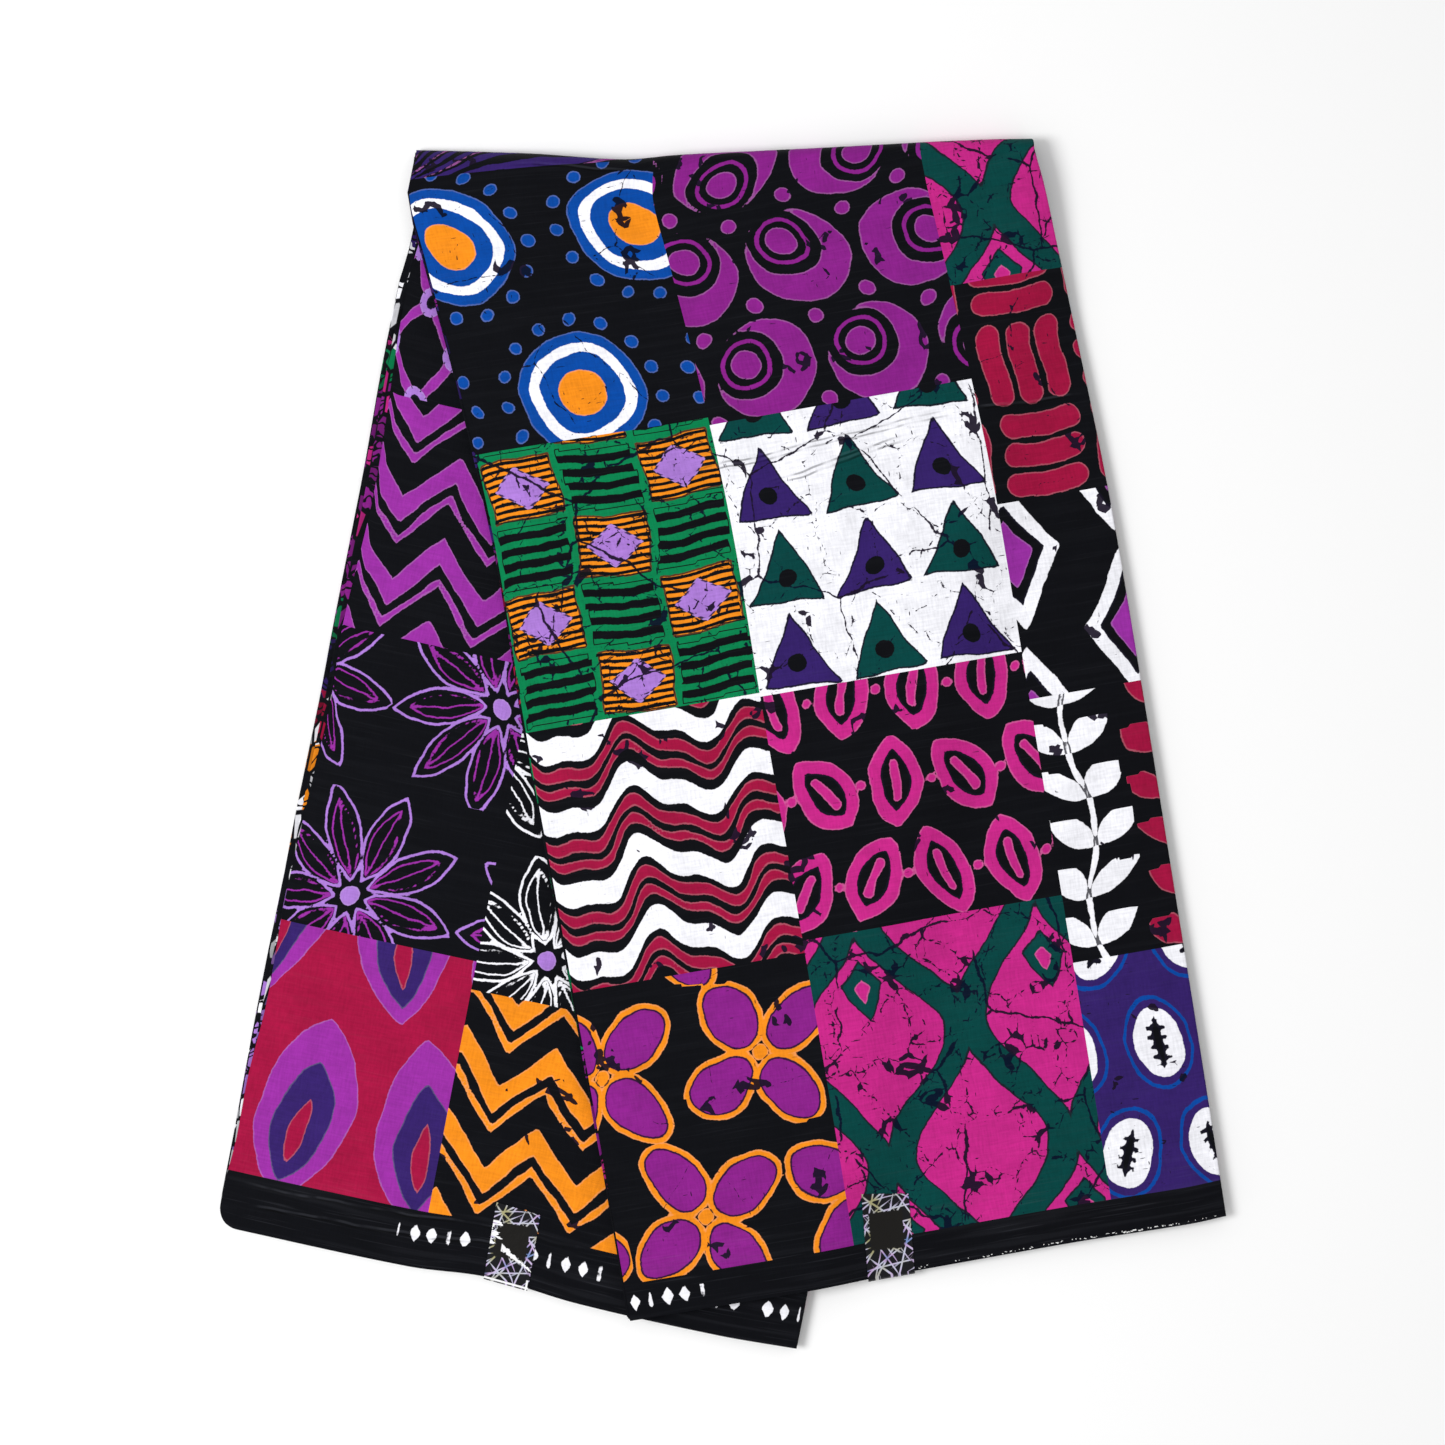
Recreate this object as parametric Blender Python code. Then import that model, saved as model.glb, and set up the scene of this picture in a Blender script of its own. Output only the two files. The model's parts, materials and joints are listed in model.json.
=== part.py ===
"""A length of wax-print cotton, folded into a flat packet that fans out in two leaves.

The cloth is folded back and forth into a strip one foot wide, and the strip is doubled over
once. The back leaf lies flat on the surface. The front leaf comes over the fold, lies across
the back leaf, and sinks to the surface past the back leaf's right edge.

Five pieces: the outermost stretch of cloth, which is the front leaf's face and the back
leaf's underside, the innermost stretch, which is the back leaf's face and the front leaf's
underside, the hidden layers between them, and a foil label over the hem of each leaf.

Metres, +Z up, the fold towards +Y. The origin is the middle of the footprint, on the surface.
"""
import math
from collections import namedtuple

import bmesh
import bpy
from mathutils import Vector
from mathutils.bvhtree import BVHTree

MM = 0.001

# Thickness, counted outwards from the inside of the fold
LEAF_THICKNESS = 6.3 * MM
WALL = 1.0 * MM
SEAM = 0.3 * MM
LEAF_GAP = 0.6 * MM
FOLD_RADIUS = LEAF_GAP / 2 + LEAF_THICKNESS
SINK_WIDTH = 40.0 * MM

# Corners of the two leaves in plan, and the border, which is also the back leaf's round corner
FOLD_LEFT = Vector((-0.1551, 0.2984))
FOLD_RIGHT = Vector((0.1561, 0.3035))
FRONT_HEM_LEFT = Vector((-0.0475, -0.2890))
FRONT_HEM_RIGHT = Vector((0.2530, -0.2372))
BACK_HEM_LEFT = Vector((-0.2546, -0.2417))
BACK_HEM_RIGHT = Vector((0.0376, -0.3040))
BORDER = 11.0 * MM

# How far each side edge stands out from the straight line between its corners, in mm
EdgeRow = namedtuple("EdgeRow", "down left_out right_out")
FRONT_EDGES = (
    EdgeRow(0.000, 0.0, 0.0),
    EdgeRow(0.032, 6.4, 1.6),
    EdgeRow(0.085, 4.8, 2.7),
    EdgeRow(0.190, 0.2, 4.5),
    EdgeRow(0.330, -3.4, 6.2),
    EdgeRow(0.500, -1.7, 5.4),
    EdgeRow(0.680, -1.6, 3.6),
    EdgeRow(0.850, -1.1, 1.9),
    EdgeRow(1.000, 0.0, 0.0),
)
BACK_EDGES = (
    EdgeRow(0.000, 0.0, 0.0),
    EdgeRow(0.060, -6.2, 0.0),
    EdgeRow(0.120, -3.8, 0.0),
    EdgeRow(0.330, -4.1, 0.0),
    EdgeRow(0.500, -2.8, 0.0),
    EdgeRow(0.750, -0.9, 0.0),
    EdgeRow(1.000, 0.0, 0.0),
)

# How far the fold and each hem stand out from the straight line between corners, in mm
EndRow = namedtuple("EndRow", "across out")
FOLD_LINE = (
    EndRow(0.00, 0.0),
    EndRow(0.18, -3.2),
    EndRow(0.34, -7.3),
    EndRow(0.42, -5.7),
    EndRow(0.64, -3.2),
    EndRow(0.90, -0.5),
    EndRow(1.00, 0.0),
)
FRONT_HEM = (
    EndRow(0.00, 0.0),
    EndRow(0.45, 0.6),
    EndRow(0.75, 0.1),
    EndRow(0.94, 0.9),
    EndRow(1.00, 0.0),
)
BACK_HEM = (
    EndRow(0.00, 0.0),
    EndRow(0.33, 0.2),
    EndRow(0.47, -2.9),
    EndRow(0.62, 0.8),
    EndRow(0.86, 1.7),
    EndRow(1.00, 0.0),
)

Leaf = namedtuple("Leaf", "hem_left hem_right edges hem")
FRONT = Leaf(FRONT_HEM_LEFT, FRONT_HEM_RIGHT, FRONT_EDGES, FRONT_HEM)
BACK = Leaf(BACK_HEM_LEFT, BACK_HEM_RIGHT, BACK_EDGES, BACK_HEM)

# How far a layer stops short of the leaf's outline at its left, right and hem, in mm
Inset = namedtuple("Inset", "left right hem")
OUTER_ON_FRONT = Inset(1.4, 0.0, 0.0)
OUTER_ON_BACK = Inset(1.0, 0.5, 0.8)
INNER_ON_FRONT = Inset(2.2, 0.8, 0.6)
INNER_ON_BACK = Inset(4.6, 0.4, 0.0)

# The hidden layers lie in bundles, one row each from the inside of the fold outwards
BUNDLES = (
    Inset(2.8, 0.9, 1.0),
    Inset(0.5, 1.5, 0.3),
    Inset(0.0, 0.2, 1.3),
    Inset(1.3, 1.1, 0.1),
    Inset(0.2, 0.1, 0.9),
    Inset(1.7, 0.8, 0.4),
)
BUNDLE_STEPS = (0.0, 0.25, 0.75)
GROOVE = 1.1

# A foil label's edges meet the hem at these shares across the leaf, and run up it
Label = namedtuple("Label", "hem_left hem_right left_length right_length turn")
FRONT_LABEL = Label(0.401, 0.479, 43.0 * MM, 38.6 * MM, math.radians(4.6))
BACK_LABEL = Label(0.462, 0.537, 37.5 * MM, 37.0 * MM, math.radians(-9.5))
LABEL_THICKNESS = 0.5 * MM
LABEL_LAP = 2.6 * MM
LABEL_CLEARANCE = 0.7 * MM
LABEL_RUN = (1.0, 0.75, 0.5, 0.25, 0.0)
LABEL_COLUMNS = 4

# Sections down a leaf and columns across it, closer together at the rounded corner
LEAF_ROWS = 15
CORNER_STEPS = 3
LEAF_COLUMNS = 11
FOLD_STEPS = 8

# Colour, roughness and metallic value of each piece
PRINT_FACE = ((0.13, 0.03, 0.16, 1.0), 0.75, 0.0)
PRINT_BACK = ((0.03, 0.03, 0.04, 1.0), 0.75, 0.0)
PRINT_EDGES = ((0.30, 0.05, 0.25, 1.0), 0.80, 0.0)
FOIL = ((0.60, 0.60, 0.65, 1.0), 0.25, 1.0)


def clear_scene():
    """Remove whatever the file holds."""
    for old in list(bpy.data.objects):
        bpy.data.objects.remove(old, do_unlink=True)


def ease(share):
    """0 to 1 with a level start and end."""
    share = min(max(share, 0.0), 1.0)
    return share * share * (3 - 2 * share)


def read_table(rows, column, place):
    """Value of a column at a place, on a smooth curve through the table's rows."""
    places = [row[0] for row in rows]
    values = [getattr(row, column) for row in rows]
    last = len(rows) - 1
    slopes = []
    for n in range(last + 1):
        before, after = max(n - 1, 0), min(n + 1, last)
        slopes.append((values[after] - values[before]) / (places[after] - places[before]))
    n = 0
    while n < last - 1 and place > places[n + 1]:
        n += 1
    step = places[n + 1] - places[n]
    t = (place - places[n]) / step
    return (
        values[n] * (1 + 2 * t) * (1 - t) ** 2
        + values[n + 1] * (3 - 2 * t) * t ** 2
        + slopes[n] * step * t * (1 - t) ** 2
        - slopes[n + 1] * step * t ** 2 * (1 - t)
    )


def round_corner(side, end, radius):
    """Pull a point near a square corner onto a round one, from its distances to both edges."""
    if side >= radius or end >= radius:
        return side, end
    x, y = 1 - side / radius, 1 - end / radius
    side = radius * (1 - x * math.sqrt(1 - y * y / 2))
    end = radius * (1 - y * math.sqrt(1 - x * x / 2))
    return side, end


def draw_in(distance, inset):
    """Bring a point near an edge in by the inset, which fades out over the border's width."""
    return max(distance, inset + distance * (1 - inset / BORDER))


def leaf_point(leaf, down, across, inset):
    """Plan position on a leaf: down from 0 at the fold to 1 at the hem, across from the left."""
    length = (leaf.hem_left - FOLD_LEFT).length
    width = (leaf.hem_right - leaf.hem_left).length
    side = draw_in(across * width, inset.left * MM)
    side = width - draw_in(width - side, inset.right * MM)
    end = draw_in((1 - down) * length, inset.hem * MM)
    if leaf is BACK:
        side, end = round_corner(side, end, BORDER)
    across, down = side / width, 1 - end / length

    left = FOLD_LEFT.lerp(leaf.hem_left, down)
    right = FOLD_RIGHT.lerp(leaf.hem_right, down)
    outwards = (right - left).normalized()
    left -= outwards * read_table(leaf.edges, "left_out", down) * MM
    right += outwards * read_table(leaf.edges, "right_out", down) * MM
    point = left.lerp(right, across)
    point.y += read_table(FOLD_LINE, "out", across) * MM * (1 - down) ** 6
    point.y -= FOLD_RADIUS * (1 - down) ** 6
    point.y -= read_table(leaf.hem, "out", across) * MM * down ** 8
    return point


def sink(point):
    """Height of the front leaf's underside: on the back leaf, then down to the surface."""
    edge = (BACK_HEM_RIGHT - FOLD_RIGHT).normalized()
    away = point - FOLD_RIGHT
    beyond = edge.x * away.y - edge.y * away.x
    return (LEAF_THICKNESS + LEAF_GAP) * (1 - ease(beyond / SINK_WIDTH))


def blend_insets(back, front, share):
    """Inset part of the way round the fold."""
    return Inset(*(b + (f - b) * share for b, f in zip(back, front)))


def run_stations():
    """Stations along the strip: back hem, up the back leaf, round the fold, down the front."""
    length = (BACK_HEM_LEFT - FOLD_LEFT).length
    corner = BORDER / length
    downs = [n * (1 - corner) / LEAF_ROWS for n in range(LEAF_ROWS + 1)]
    downs += [1 - corner * (1 - n / CORNER_STEPS) for n in range(1, CORNER_STEPS + 1)]
    stations = [("back", down) for down in reversed(downs)]
    stations += [("fold", n / FOLD_STEPS) for n in range(1, FOLD_STEPS)]
    stations += [("front", down) for down in downs]
    return stations


def column_shares():
    """Places across the strip, closer together at the rounded corner."""
    corner = BORDER / (BACK_HEM_RIGHT - BACK_HEM_LEFT).length
    shares = [corner * n / CORNER_STEPS for n in range(CORNER_STEPS)]
    shares += [corner + (1 - 2 * corner) * n / LEAF_COLUMNS for n in range(LEAF_COLUMNS + 1)]
    shares += [1 - corner * (1 - n / CORNER_STEPS) for n in range(1, CORNER_STEPS + 1)]
    return shares


def strip_point(station, across, depth, on_back, on_front):
    """A point of the doubled strip; depth is the distance out from the inside of the fold."""
    part, share = station
    top_of_back = LEAF_THICKNESS
    if part == "back":
        plan = leaf_point(BACK, share, across, on_back)
        return Vector((plan.x, plan.y, top_of_back - depth))
    if part == "front":
        plan = leaf_point(FRONT, share, across, on_front)
        return Vector((plan.x, plan.y, sink(plan) + depth))
    inset = blend_insets(on_back, on_front, share)
    plan = leaf_point(BACK, 0, across, inset).lerp(leaf_point(FRONT, 0, across, inset), share)
    radius = LEAF_GAP / 2 + depth
    angle = math.pi * share
    middle = top_of_back + LEAF_GAP / 2
    return Vector((plan.x, plan.y + radius * math.sin(angle), middle - radius * math.cos(angle)))


def lattice_body(name, rows, columns, levels, place):
    """Closed body over a lattice of points; place(i, j, k) gives each one of its outside."""
    body = bmesh.new()
    made = {}

    def vertex(i, j, k):
        if (i, j, k) not in made:
            made[i, j, k] = body.verts.new(place(i, j, k))
        return made[i, j, k]

    def face(*corners):
        a, b, c, d = (vertex(*corner) for corner in corners)
        body.faces.new((a, b, c))
        body.faces.new((a, c, d))

    i_end, j_end, k_end = rows - 1, columns - 1, levels - 1
    for i in range(i_end):
        for j in range(j_end):
            for k in (0, k_end):
                face((i, j, k), (i + 1, j, k), (i + 1, j + 1, k), (i, j + 1, k))
    for i in range(i_end):
        for k in range(k_end):
            for j in (0, j_end):
                face((i, j, k), (i + 1, j, k), (i + 1, j, k + 1), (i, j, k + 1))
    for j in range(j_end):
        for k in range(k_end):
            for i in (0, i_end):
                face((i, j, k), (i, j + 1, k), (i, j + 1, k + 1), (i, j, k + 1))
    bmesh.ops.recalc_face_normals(body, faces=body.faces)
    mesh = bpy.data.meshes.new(name)
    body.to_mesh(mesh)
    body.free()
    mesh.shade_smooth()
    mesh.set_sharp_from_angle(angle=math.radians(40))
    return mesh


def add_piece(name, mesh, finish):
    """Put a mesh in the scene as a named piece with its own material."""
    colour, roughness, metallic = finish
    material = bpy.data.materials.new(name)
    material.use_nodes = True
    shader = material.node_tree.nodes["Principled BSDF"]
    shader.inputs["Base Color"].default_value = colour
    shader.inputs["Roughness"].default_value = roughness
    shader.inputs["Metallic"].default_value = metallic
    mesh.materials.append(material)
    piece = bpy.data.objects.new(name, mesh)
    bpy.context.collection.objects.link(piece)
    return piece


def add_strip(name, inside, outside, levels, finish):
    """A stretch of the doubled strip between two depths; levels holds its insets by share."""
    stations = run_stations()
    shares = column_shares()

    def place(i, j, k):
        share, on_back, on_front = levels[k]
        depth = inside + (outside - inside) * share
        return strip_point(stations[i], shares[j], depth, on_back, on_front)

    mesh = lattice_body(name, len(stations), len(shares), len(levels), place)
    return add_piece(name, mesh, finish)


def bundle_levels():
    """Levels of the hidden layers: each bundle's edge is rounded, with a groove between."""
    grooves = [Inset(*(max(pair) + GROOVE for pair in zip(a, b)))
               for a, b in zip(BUNDLES[:1] + BUNDLES, BUNDLES + BUNDLES[-1:])]
    levels = []
    for n, bundle in enumerate(BUNDLES):
        for step in BUNDLE_STEPS:
            inset = bundle if step else grooves[n]
            levels.append(((n + step) / len(BUNDLES), inset, inset))
    levels.append((1.0, grooves[-1], grooves[-1]))
    return levels


def add_label(name, leaf, label, panel):
    """A foil label that runs down the panel of cloth on a leaf and laps over its hem."""
    surface = BVHTree.FromObject(panel, bpy.context.evaluated_depsgraph_get())
    lean = Vector((math.sin(label.turn), -math.cos(label.turn)))
    none = Inset(0.0, 0.0, 0.0)
    rows = len(LABEL_RUN) + 2

    def height(plan):
        return surface.ray_cast(Vector((plan.x, plan.y, 1.0)), Vector((0, 0, -1)))[0].z

    def place(i, j, k):
        share = j / (LABEL_COLUMNS - 1)
        across = label.hem_left + (label.hem_right - label.hem_left) * share
        length = label.left_length + (label.right_length - label.left_length) * share
        hem = leaf_point(leaf, 1.0, across, none)
        out = SEAM + k * LABEL_THICKNESS
        if i < len(LABEL_RUN):
            plan = hem - lean * (WALL + (length - WALL) * LABEL_RUN[i])
            return Vector((plan.x, plan.y, height(plan) + out))
        plan = hem + lean * (LABEL_CLEARANCE + k * LABEL_THICKNESS)
        drop = out if i == len(LABEL_RUN) else -LABEL_LAP
        return Vector((plan.x, plan.y, height(hem - lean * WALL) + drop))

    mesh = lattice_body(name, rows, LABEL_COLUMNS, 2, place)
    return add_piece(name, mesh, FOIL)


def main():
    clear_scene()
    inner_top, outer_bottom = WALL, LEAF_THICKNESS - WALL
    outer = add_strip("outer_stretch", outer_bottom, LEAF_THICKNESS,
              [(0.0, OUTER_ON_BACK, OUTER_ON_FRONT), (1.0, OUTER_ON_BACK, OUTER_ON_FRONT)],
              PRINT_FACE)
    add_strip("hidden_layers", inner_top + SEAM, outer_bottom - SEAM, bundle_levels(),
              PRINT_EDGES)
    inner = add_strip("inner_stretch", 0.0, inner_top,
              [(0.0, INNER_ON_BACK, INNER_ON_FRONT), (1.0, INNER_ON_BACK, INNER_ON_FRONT)],
              PRINT_BACK)
    add_label("front_label", FRONT, FRONT_LABEL, outer)
    add_label("back_label", BACK, BACK_LABEL, inner)


main()
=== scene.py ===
"""Looks of a folded length of wax-print cotton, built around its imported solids.

Laid out as an add-on and run as a script. The strip's outer stretch and inner stretch are
fine shells that carry the print. The layers between them are one long sheet, folded back
and forth. Foil labels lap over the hems, and the scene has a pale floor and soft light.

Geometry is in metres. The print is drawn in millimetres on the flat cloth: a runs across
the strip from its left edge, b runs up from the hem of the leaf that shows.
"""

import json
import math
from collections import namedtuple
from functools import partial, reduce
from itertools import cycle

import bmesh
import bpy
import numpy as np
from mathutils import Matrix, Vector

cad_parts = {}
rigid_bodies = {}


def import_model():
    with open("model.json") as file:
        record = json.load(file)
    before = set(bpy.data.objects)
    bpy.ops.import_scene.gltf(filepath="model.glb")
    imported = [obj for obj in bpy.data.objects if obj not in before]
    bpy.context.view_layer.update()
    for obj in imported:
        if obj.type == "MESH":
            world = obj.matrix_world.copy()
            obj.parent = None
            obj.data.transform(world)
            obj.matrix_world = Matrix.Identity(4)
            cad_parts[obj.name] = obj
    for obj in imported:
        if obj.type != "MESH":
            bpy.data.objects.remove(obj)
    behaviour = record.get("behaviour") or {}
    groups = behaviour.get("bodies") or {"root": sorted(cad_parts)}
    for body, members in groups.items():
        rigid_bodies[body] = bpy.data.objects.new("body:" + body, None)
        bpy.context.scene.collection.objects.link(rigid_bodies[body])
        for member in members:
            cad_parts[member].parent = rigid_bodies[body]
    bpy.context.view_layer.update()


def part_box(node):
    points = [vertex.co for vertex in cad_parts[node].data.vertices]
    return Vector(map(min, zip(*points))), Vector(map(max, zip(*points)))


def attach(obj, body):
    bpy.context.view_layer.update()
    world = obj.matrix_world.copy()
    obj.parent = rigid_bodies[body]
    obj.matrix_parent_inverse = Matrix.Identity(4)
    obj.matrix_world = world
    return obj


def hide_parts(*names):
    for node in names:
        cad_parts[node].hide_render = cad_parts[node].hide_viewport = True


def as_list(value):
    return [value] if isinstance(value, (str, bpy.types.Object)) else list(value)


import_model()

bl_info = {
    "name": "Folded ankara cloth",
    "version": (1, 0, 0),
    "blender": (4, 5, 0),
    "location": "3D View > Sidebar > Ankara",
    "description": "Dresses the folded packet of wax-print cotton around its solids",
    "category": "Object",
}

MM = 0.001

# The doubled strip, in metres: two leaves with a gap between them, the fold that joins them, the
# width that the front leaf sinks over beside the back one, the border that insets fade out over,
# a leaf's layers and their pitch, and the thickness of the folded ones
LEAF_GAP = 0.6 * MM
LEAF_THICKNESS = (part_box("outer_stretch")[1].z - LEAF_GAP) / 2
FOLD_RADIUS = LEAF_GAP / 2 + LEAF_THICKNESS
FOLD_ARC = math.pi * FOLD_RADIUS
SINK_WIDTH = 40.0 * MM
BORDER = 11.0 * MM
LAYERS = 18
PITCH = LEAF_THICKNESS / LAYERS
PRESSED_THIN = 0.2 * MM

# Corners of the two leaves in plan, as x + yj, and what the rounded fold takes off a leaf
FOLD_LEFT = -0.1551 + 0.2984j
FOLD_RIGHT = 0.1561 + 0.3035j
FRONT_HEM_LEFT = -0.0475 - 0.2890j
FRONT_HEM_RIGHT = 0.2530 - 0.2372j
BACK_HEM_LEFT = -0.2546 - 0.2417j
BACK_HEM_RIGHT = 0.0376 - 0.3040j
FOLD_DRAW = FOLD_RADIUS + 3.2 * MM

# How far each side edge stands out from the straight line between its corners, in mm
EdgeRow = namedtuple("EdgeRow", "down left_out right_out")
FRONT_EDGES = (
    EdgeRow(0.000, 0.0, 0.0),
    EdgeRow(0.032, 6.4, 1.6),
    EdgeRow(0.085, 4.8, 2.7),
    EdgeRow(0.190, 0.2, 4.5),
    EdgeRow(0.330, -3.4, 6.2),
    EdgeRow(0.500, -1.7, 5.4),
    EdgeRow(0.680, -1.6, 3.6),
    EdgeRow(0.850, -1.1, 1.9),
    EdgeRow(1.000, 0.0, 0.0),
)
BACK_EDGES = (
    EdgeRow(0.000, 0.0, 0.0),
    EdgeRow(0.060, -6.2, 0.0),
    EdgeRow(0.120, -3.8, 0.0),
    EdgeRow(0.330, -4.1, 0.0),
    EdgeRow(0.500, -2.8, 0.0),
    EdgeRow(0.750, -0.9, 0.0),
    EdgeRow(1.000, 0.0, 0.0),
)

# How far the fold and each hem stand out from the straight line between corners, in mm
EndRow = namedtuple("EndRow", "across out")
FOLD_LINE = (
    EndRow(0.00, 0.0),
    EndRow(0.18, -3.2),
    EndRow(0.34, -7.3),
    EndRow(0.42, -5.7),
    EndRow(0.64, -3.2),
    EndRow(0.90, -0.5),
    EndRow(1.00, 0.0),
)
FRONT_HEM = (
    EndRow(0.00, 0.0),
    EndRow(0.45, 0.6),
    EndRow(0.75, 0.1),
    EndRow(0.94, 0.9),
    EndRow(1.00, 0.0),
)
BACK_HEM = (
    EndRow(0.00, 0.0),
    EndRow(0.33, 0.2),
    EndRow(0.47, -2.9),
    EndRow(0.62, 0.8),
    EndRow(0.86, 1.7),
    EndRow(1.00, 0.0),
)

# The powers by which the waves of the fold and of the hems die away along a leaf
FOLD_FADE = 6
HEM_FADE = 8

# The two leaves of the doubled strip
Leaf = namedtuple("Leaf", "hem_left hem_right edges hem")
FRONT = Leaf(FRONT_HEM_LEFT, FRONT_HEM_RIGHT, FRONT_EDGES, FRONT_HEM)
BACK = Leaf(BACK_HEM_LEFT, BACK_HEM_RIGHT, BACK_EDGES, BACK_HEM)

# How far a layer stops short of the leaf's outline, in mm, the folded ones from the inside out
Inset = namedtuple("Inset", "left right hem")
FLUSH = Inset(0.0, 0.0, 0.4)
BUNDLES = (
    Inset(2.8, 0.9, 1.0),
    Inset(0.5, 1.5, 0.3),
    Inset(0.0, 0.2, 1.3),
    Inset(1.3, 1.1, 0.1),
    Inset(0.2, 0.1, 0.9),
    Inset(1.7, 0.8, 0.4),
)

# The mesh of the folded layers: rows down a leaf, close together at the hem, and round the fold,
# columns between a layer's borders, and the angles of the columns round a side bend
LEAF_ROWS = np.concatenate([np.linspace(0, 0.94, 34), [0.97, 0.988, 1.0]])
FOLD_ROWS = np.linspace(0, 1, 13)[1:-1]
INNER_COLUMNS = 13
BEND_ANGLES = np.pi * np.array([0.25, 0.5, 0.75])

# How the columns crowd where the leaf sinks: the share of those on each side that stay there, and
# the crowd's least width, as a share of the strip
STAYING = 0.6
LEAST_CROWD = 0.01

# The side bends of the folded layers: how far in from their bundle's inset they are, in mm, and
# the ripples along their edges, with heights in mm, lengths in metres and multiples of the
# bend's own turn
BEND_INSET = 0.25
Ripple = namedtuple("Ripple", "height length turns")
RIPPLES = (
    Ripple(0.28, 0.043, 1),
    Ripple(0.22, 0.017, 2),
)

# How uneven the hems of the folded layers are, in mm
HEM_UNEVENNESS = 0.5

# Seeds of the draws by chance that are not a motif's
LEFT_BEND_SEED = 11
RIGHT_BEND_SEED = 12
HEM_SEED = 13
THREAD_SEED = 21

# How far each stretch's left edge stops short of the back leaf's outline, in mm. The inner one
# wanders, and shows the layers below
PeekRow = namedtuple("PeekRow", "down left")
OUTER_PEEK = (
    PeekRow(0.00, 1.0),
    PeekRow(1.00, 1.0),
)
INNER_PEEK = (
    PeekRow(0.00, 4.0),
    PeekRow(0.15, 5.2),
    PeekRow(0.31, 7.5),
    PeekRow(0.44, 5.0),
    PeekRow(0.51, 6.5),
    PeekRow(0.62, 4.6),
    PeekRow(0.70, 3.5),
    PeekRow(0.79, 4.4),
    PeekRow(0.86, 2.2),
    PeekRow(0.92, 2.2),
    PeekRow(0.96, 0.7),
    PeekRow(1.00, 0.5),
)

# The left end of the fold rolls away: how deep and how far across, by what share of its height,
# the power of its curve, and how softly it starts
SHOULDER_DEPTH = 12.0 * MM
SHOULDER_SPAN = 0.27
SHOULDER_DROP = 0.5
SHOULDER_CURVE = 0.8
SHOULDER_SOFTNESS = 0.002

# Labels that lap over the hems: ends across the leaf's hem, side lengths in mm, turn and wear
Label = namedtuple("Label", "leaf hem_left hem_right left_length right_length turn worn")
FRONT_LABEL = Label(FRONT, 0.401, 0.479, 43.0, 38.6, math.radians(4.6), 0.0)
BACK_LABEL = Label(BACK, 0.462, 0.537, 37.5, 37.0, math.radians(-9.5), 1.0)

# A label's mesh, how near a point has to be to count as on its end, its rumples, and the height
# that it is laid down from
LABEL_COLUMNS = 12
LABEL_ROWS = 20
ON_END = 0.1 * MM
LABEL_RUMPLE = 0.06 * MM
LABEL_START = 20.0 * MM

# Rows of a label's bend over the hem: shares of its reach outwards and of its lap down
LABEL_BEND = ((0.55, 0.1), (0.45, 0.45), (0.0, 0.45))

# Frays along the front hem: where each is across it, in mm, its count of loose thread ends, and
# how thick they are
Fray = namedtuple("Fray", "start stop count thick")
FRAYS = (
    Fray(147.0, 153.0, 4, 0.24),
    Fray(166.0, 174.0, 3, 0.24),
    Fray(181.0, 186.0, 4, 0.28),
    Fray(190.0, 207.0, 8, 0.28),
    Fray(211.0, 222.0, 6, 0.28),
    Fray(226.0, 240.0, 8, 0.30),
    Fray(243.0, 249.0, 3, 0.24),
    Fray(251.0, 262.0, 10, 0.42),
    Fray(265.0, 270.0, 4, 0.28),
    Fray(272.0, 281.0, 7, 0.38),
    Fray(284.0, 300.0, 5, 0.22),
)

# A thread end's length and its start up from the hem, in mm, and its radius as a share of its
# fray's thickness, each as the least and what chance adds
Spread = namedtuple("Spread", "least more")
THREAD_LENGTH = Spread(0.5, 1.7)
THREAD_START = Spread(0.9, 0.7)
THREAD_THICKNESS = Spread(0.7, 0.5)

# The span of a thread end's turns in radians, the share of a turn that takes it up the cloth,
# the span of its bows in mm, and how high it lies, as a share of its radius
THREAD_TURN = 2.2
THREAD_RISE = 0.35
THREAD_BOW = 0.5
THREAD_LIFT = 0.75

# The four points along a thread end: their places, their shares of its bow and of its radius
THREAD_PLACES = np.array([0.0, 0.33, 0.67, 1.0])
BOW_SHARES = np.array([0.0, 1.0, 0.8, 0.0])
RADIUS_SHARES = (0.45, 1.0, 1.0, 0.5)

# The sides of a thread's tube, and its height as a share of its width
THREAD_SIDES = 5
THREAD_FLATNESS = 0.8

# The flat cloth, in mm: the strip's width, its right side's rounded lip with the shares of it
# that the mesh lines are at and a place across that gives its direction, and a stretch's length
STRIP = 305.0
LIP = 1.5
LIP_RADIUS = 0.9
LIP_SHARES = np.array([0.34, 0.67, 1.0])
BESIDE_EDGE = 0.97
STRETCH_LENGTH = 1158.0

# How near, in mm, a mesh line has to be to count as on an area's edge, how far a stop has to be
# from a sheet's ends, and the part of a step that is too small to need another
ON_LINE = 0.01
STOP_CLEAR = 0.4
STEP_SLACK = 1e-6

# Half the gap between a stretch's two pieces, in mm, and how many mesh lines it is from one that
# the back of each piece keeps to the next
HALF_GAP = 0.2
SHOWN_EVERY = 4
HIDDEN_EVERY = 3

# The widest crease that is a pressed line, in mm, the deepest trough, and the share of the air
# under a layer that its back takes
PRESSED_WIDTH = 2.0
DEEPEST_TROUGH = 0.1 * MM
BACK_SHARE = 0.45

# The share of a crease's length over which each end fades
CREASE_TAPER = 0.25

# Edges sharper than these stay sharp: on the printed sheets, the folded layers and the labels
SHEET_SHARP = math.radians(50)
LAYERS_SHARP = math.radians(60)
LABEL_SHARP = math.radians(25)

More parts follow.
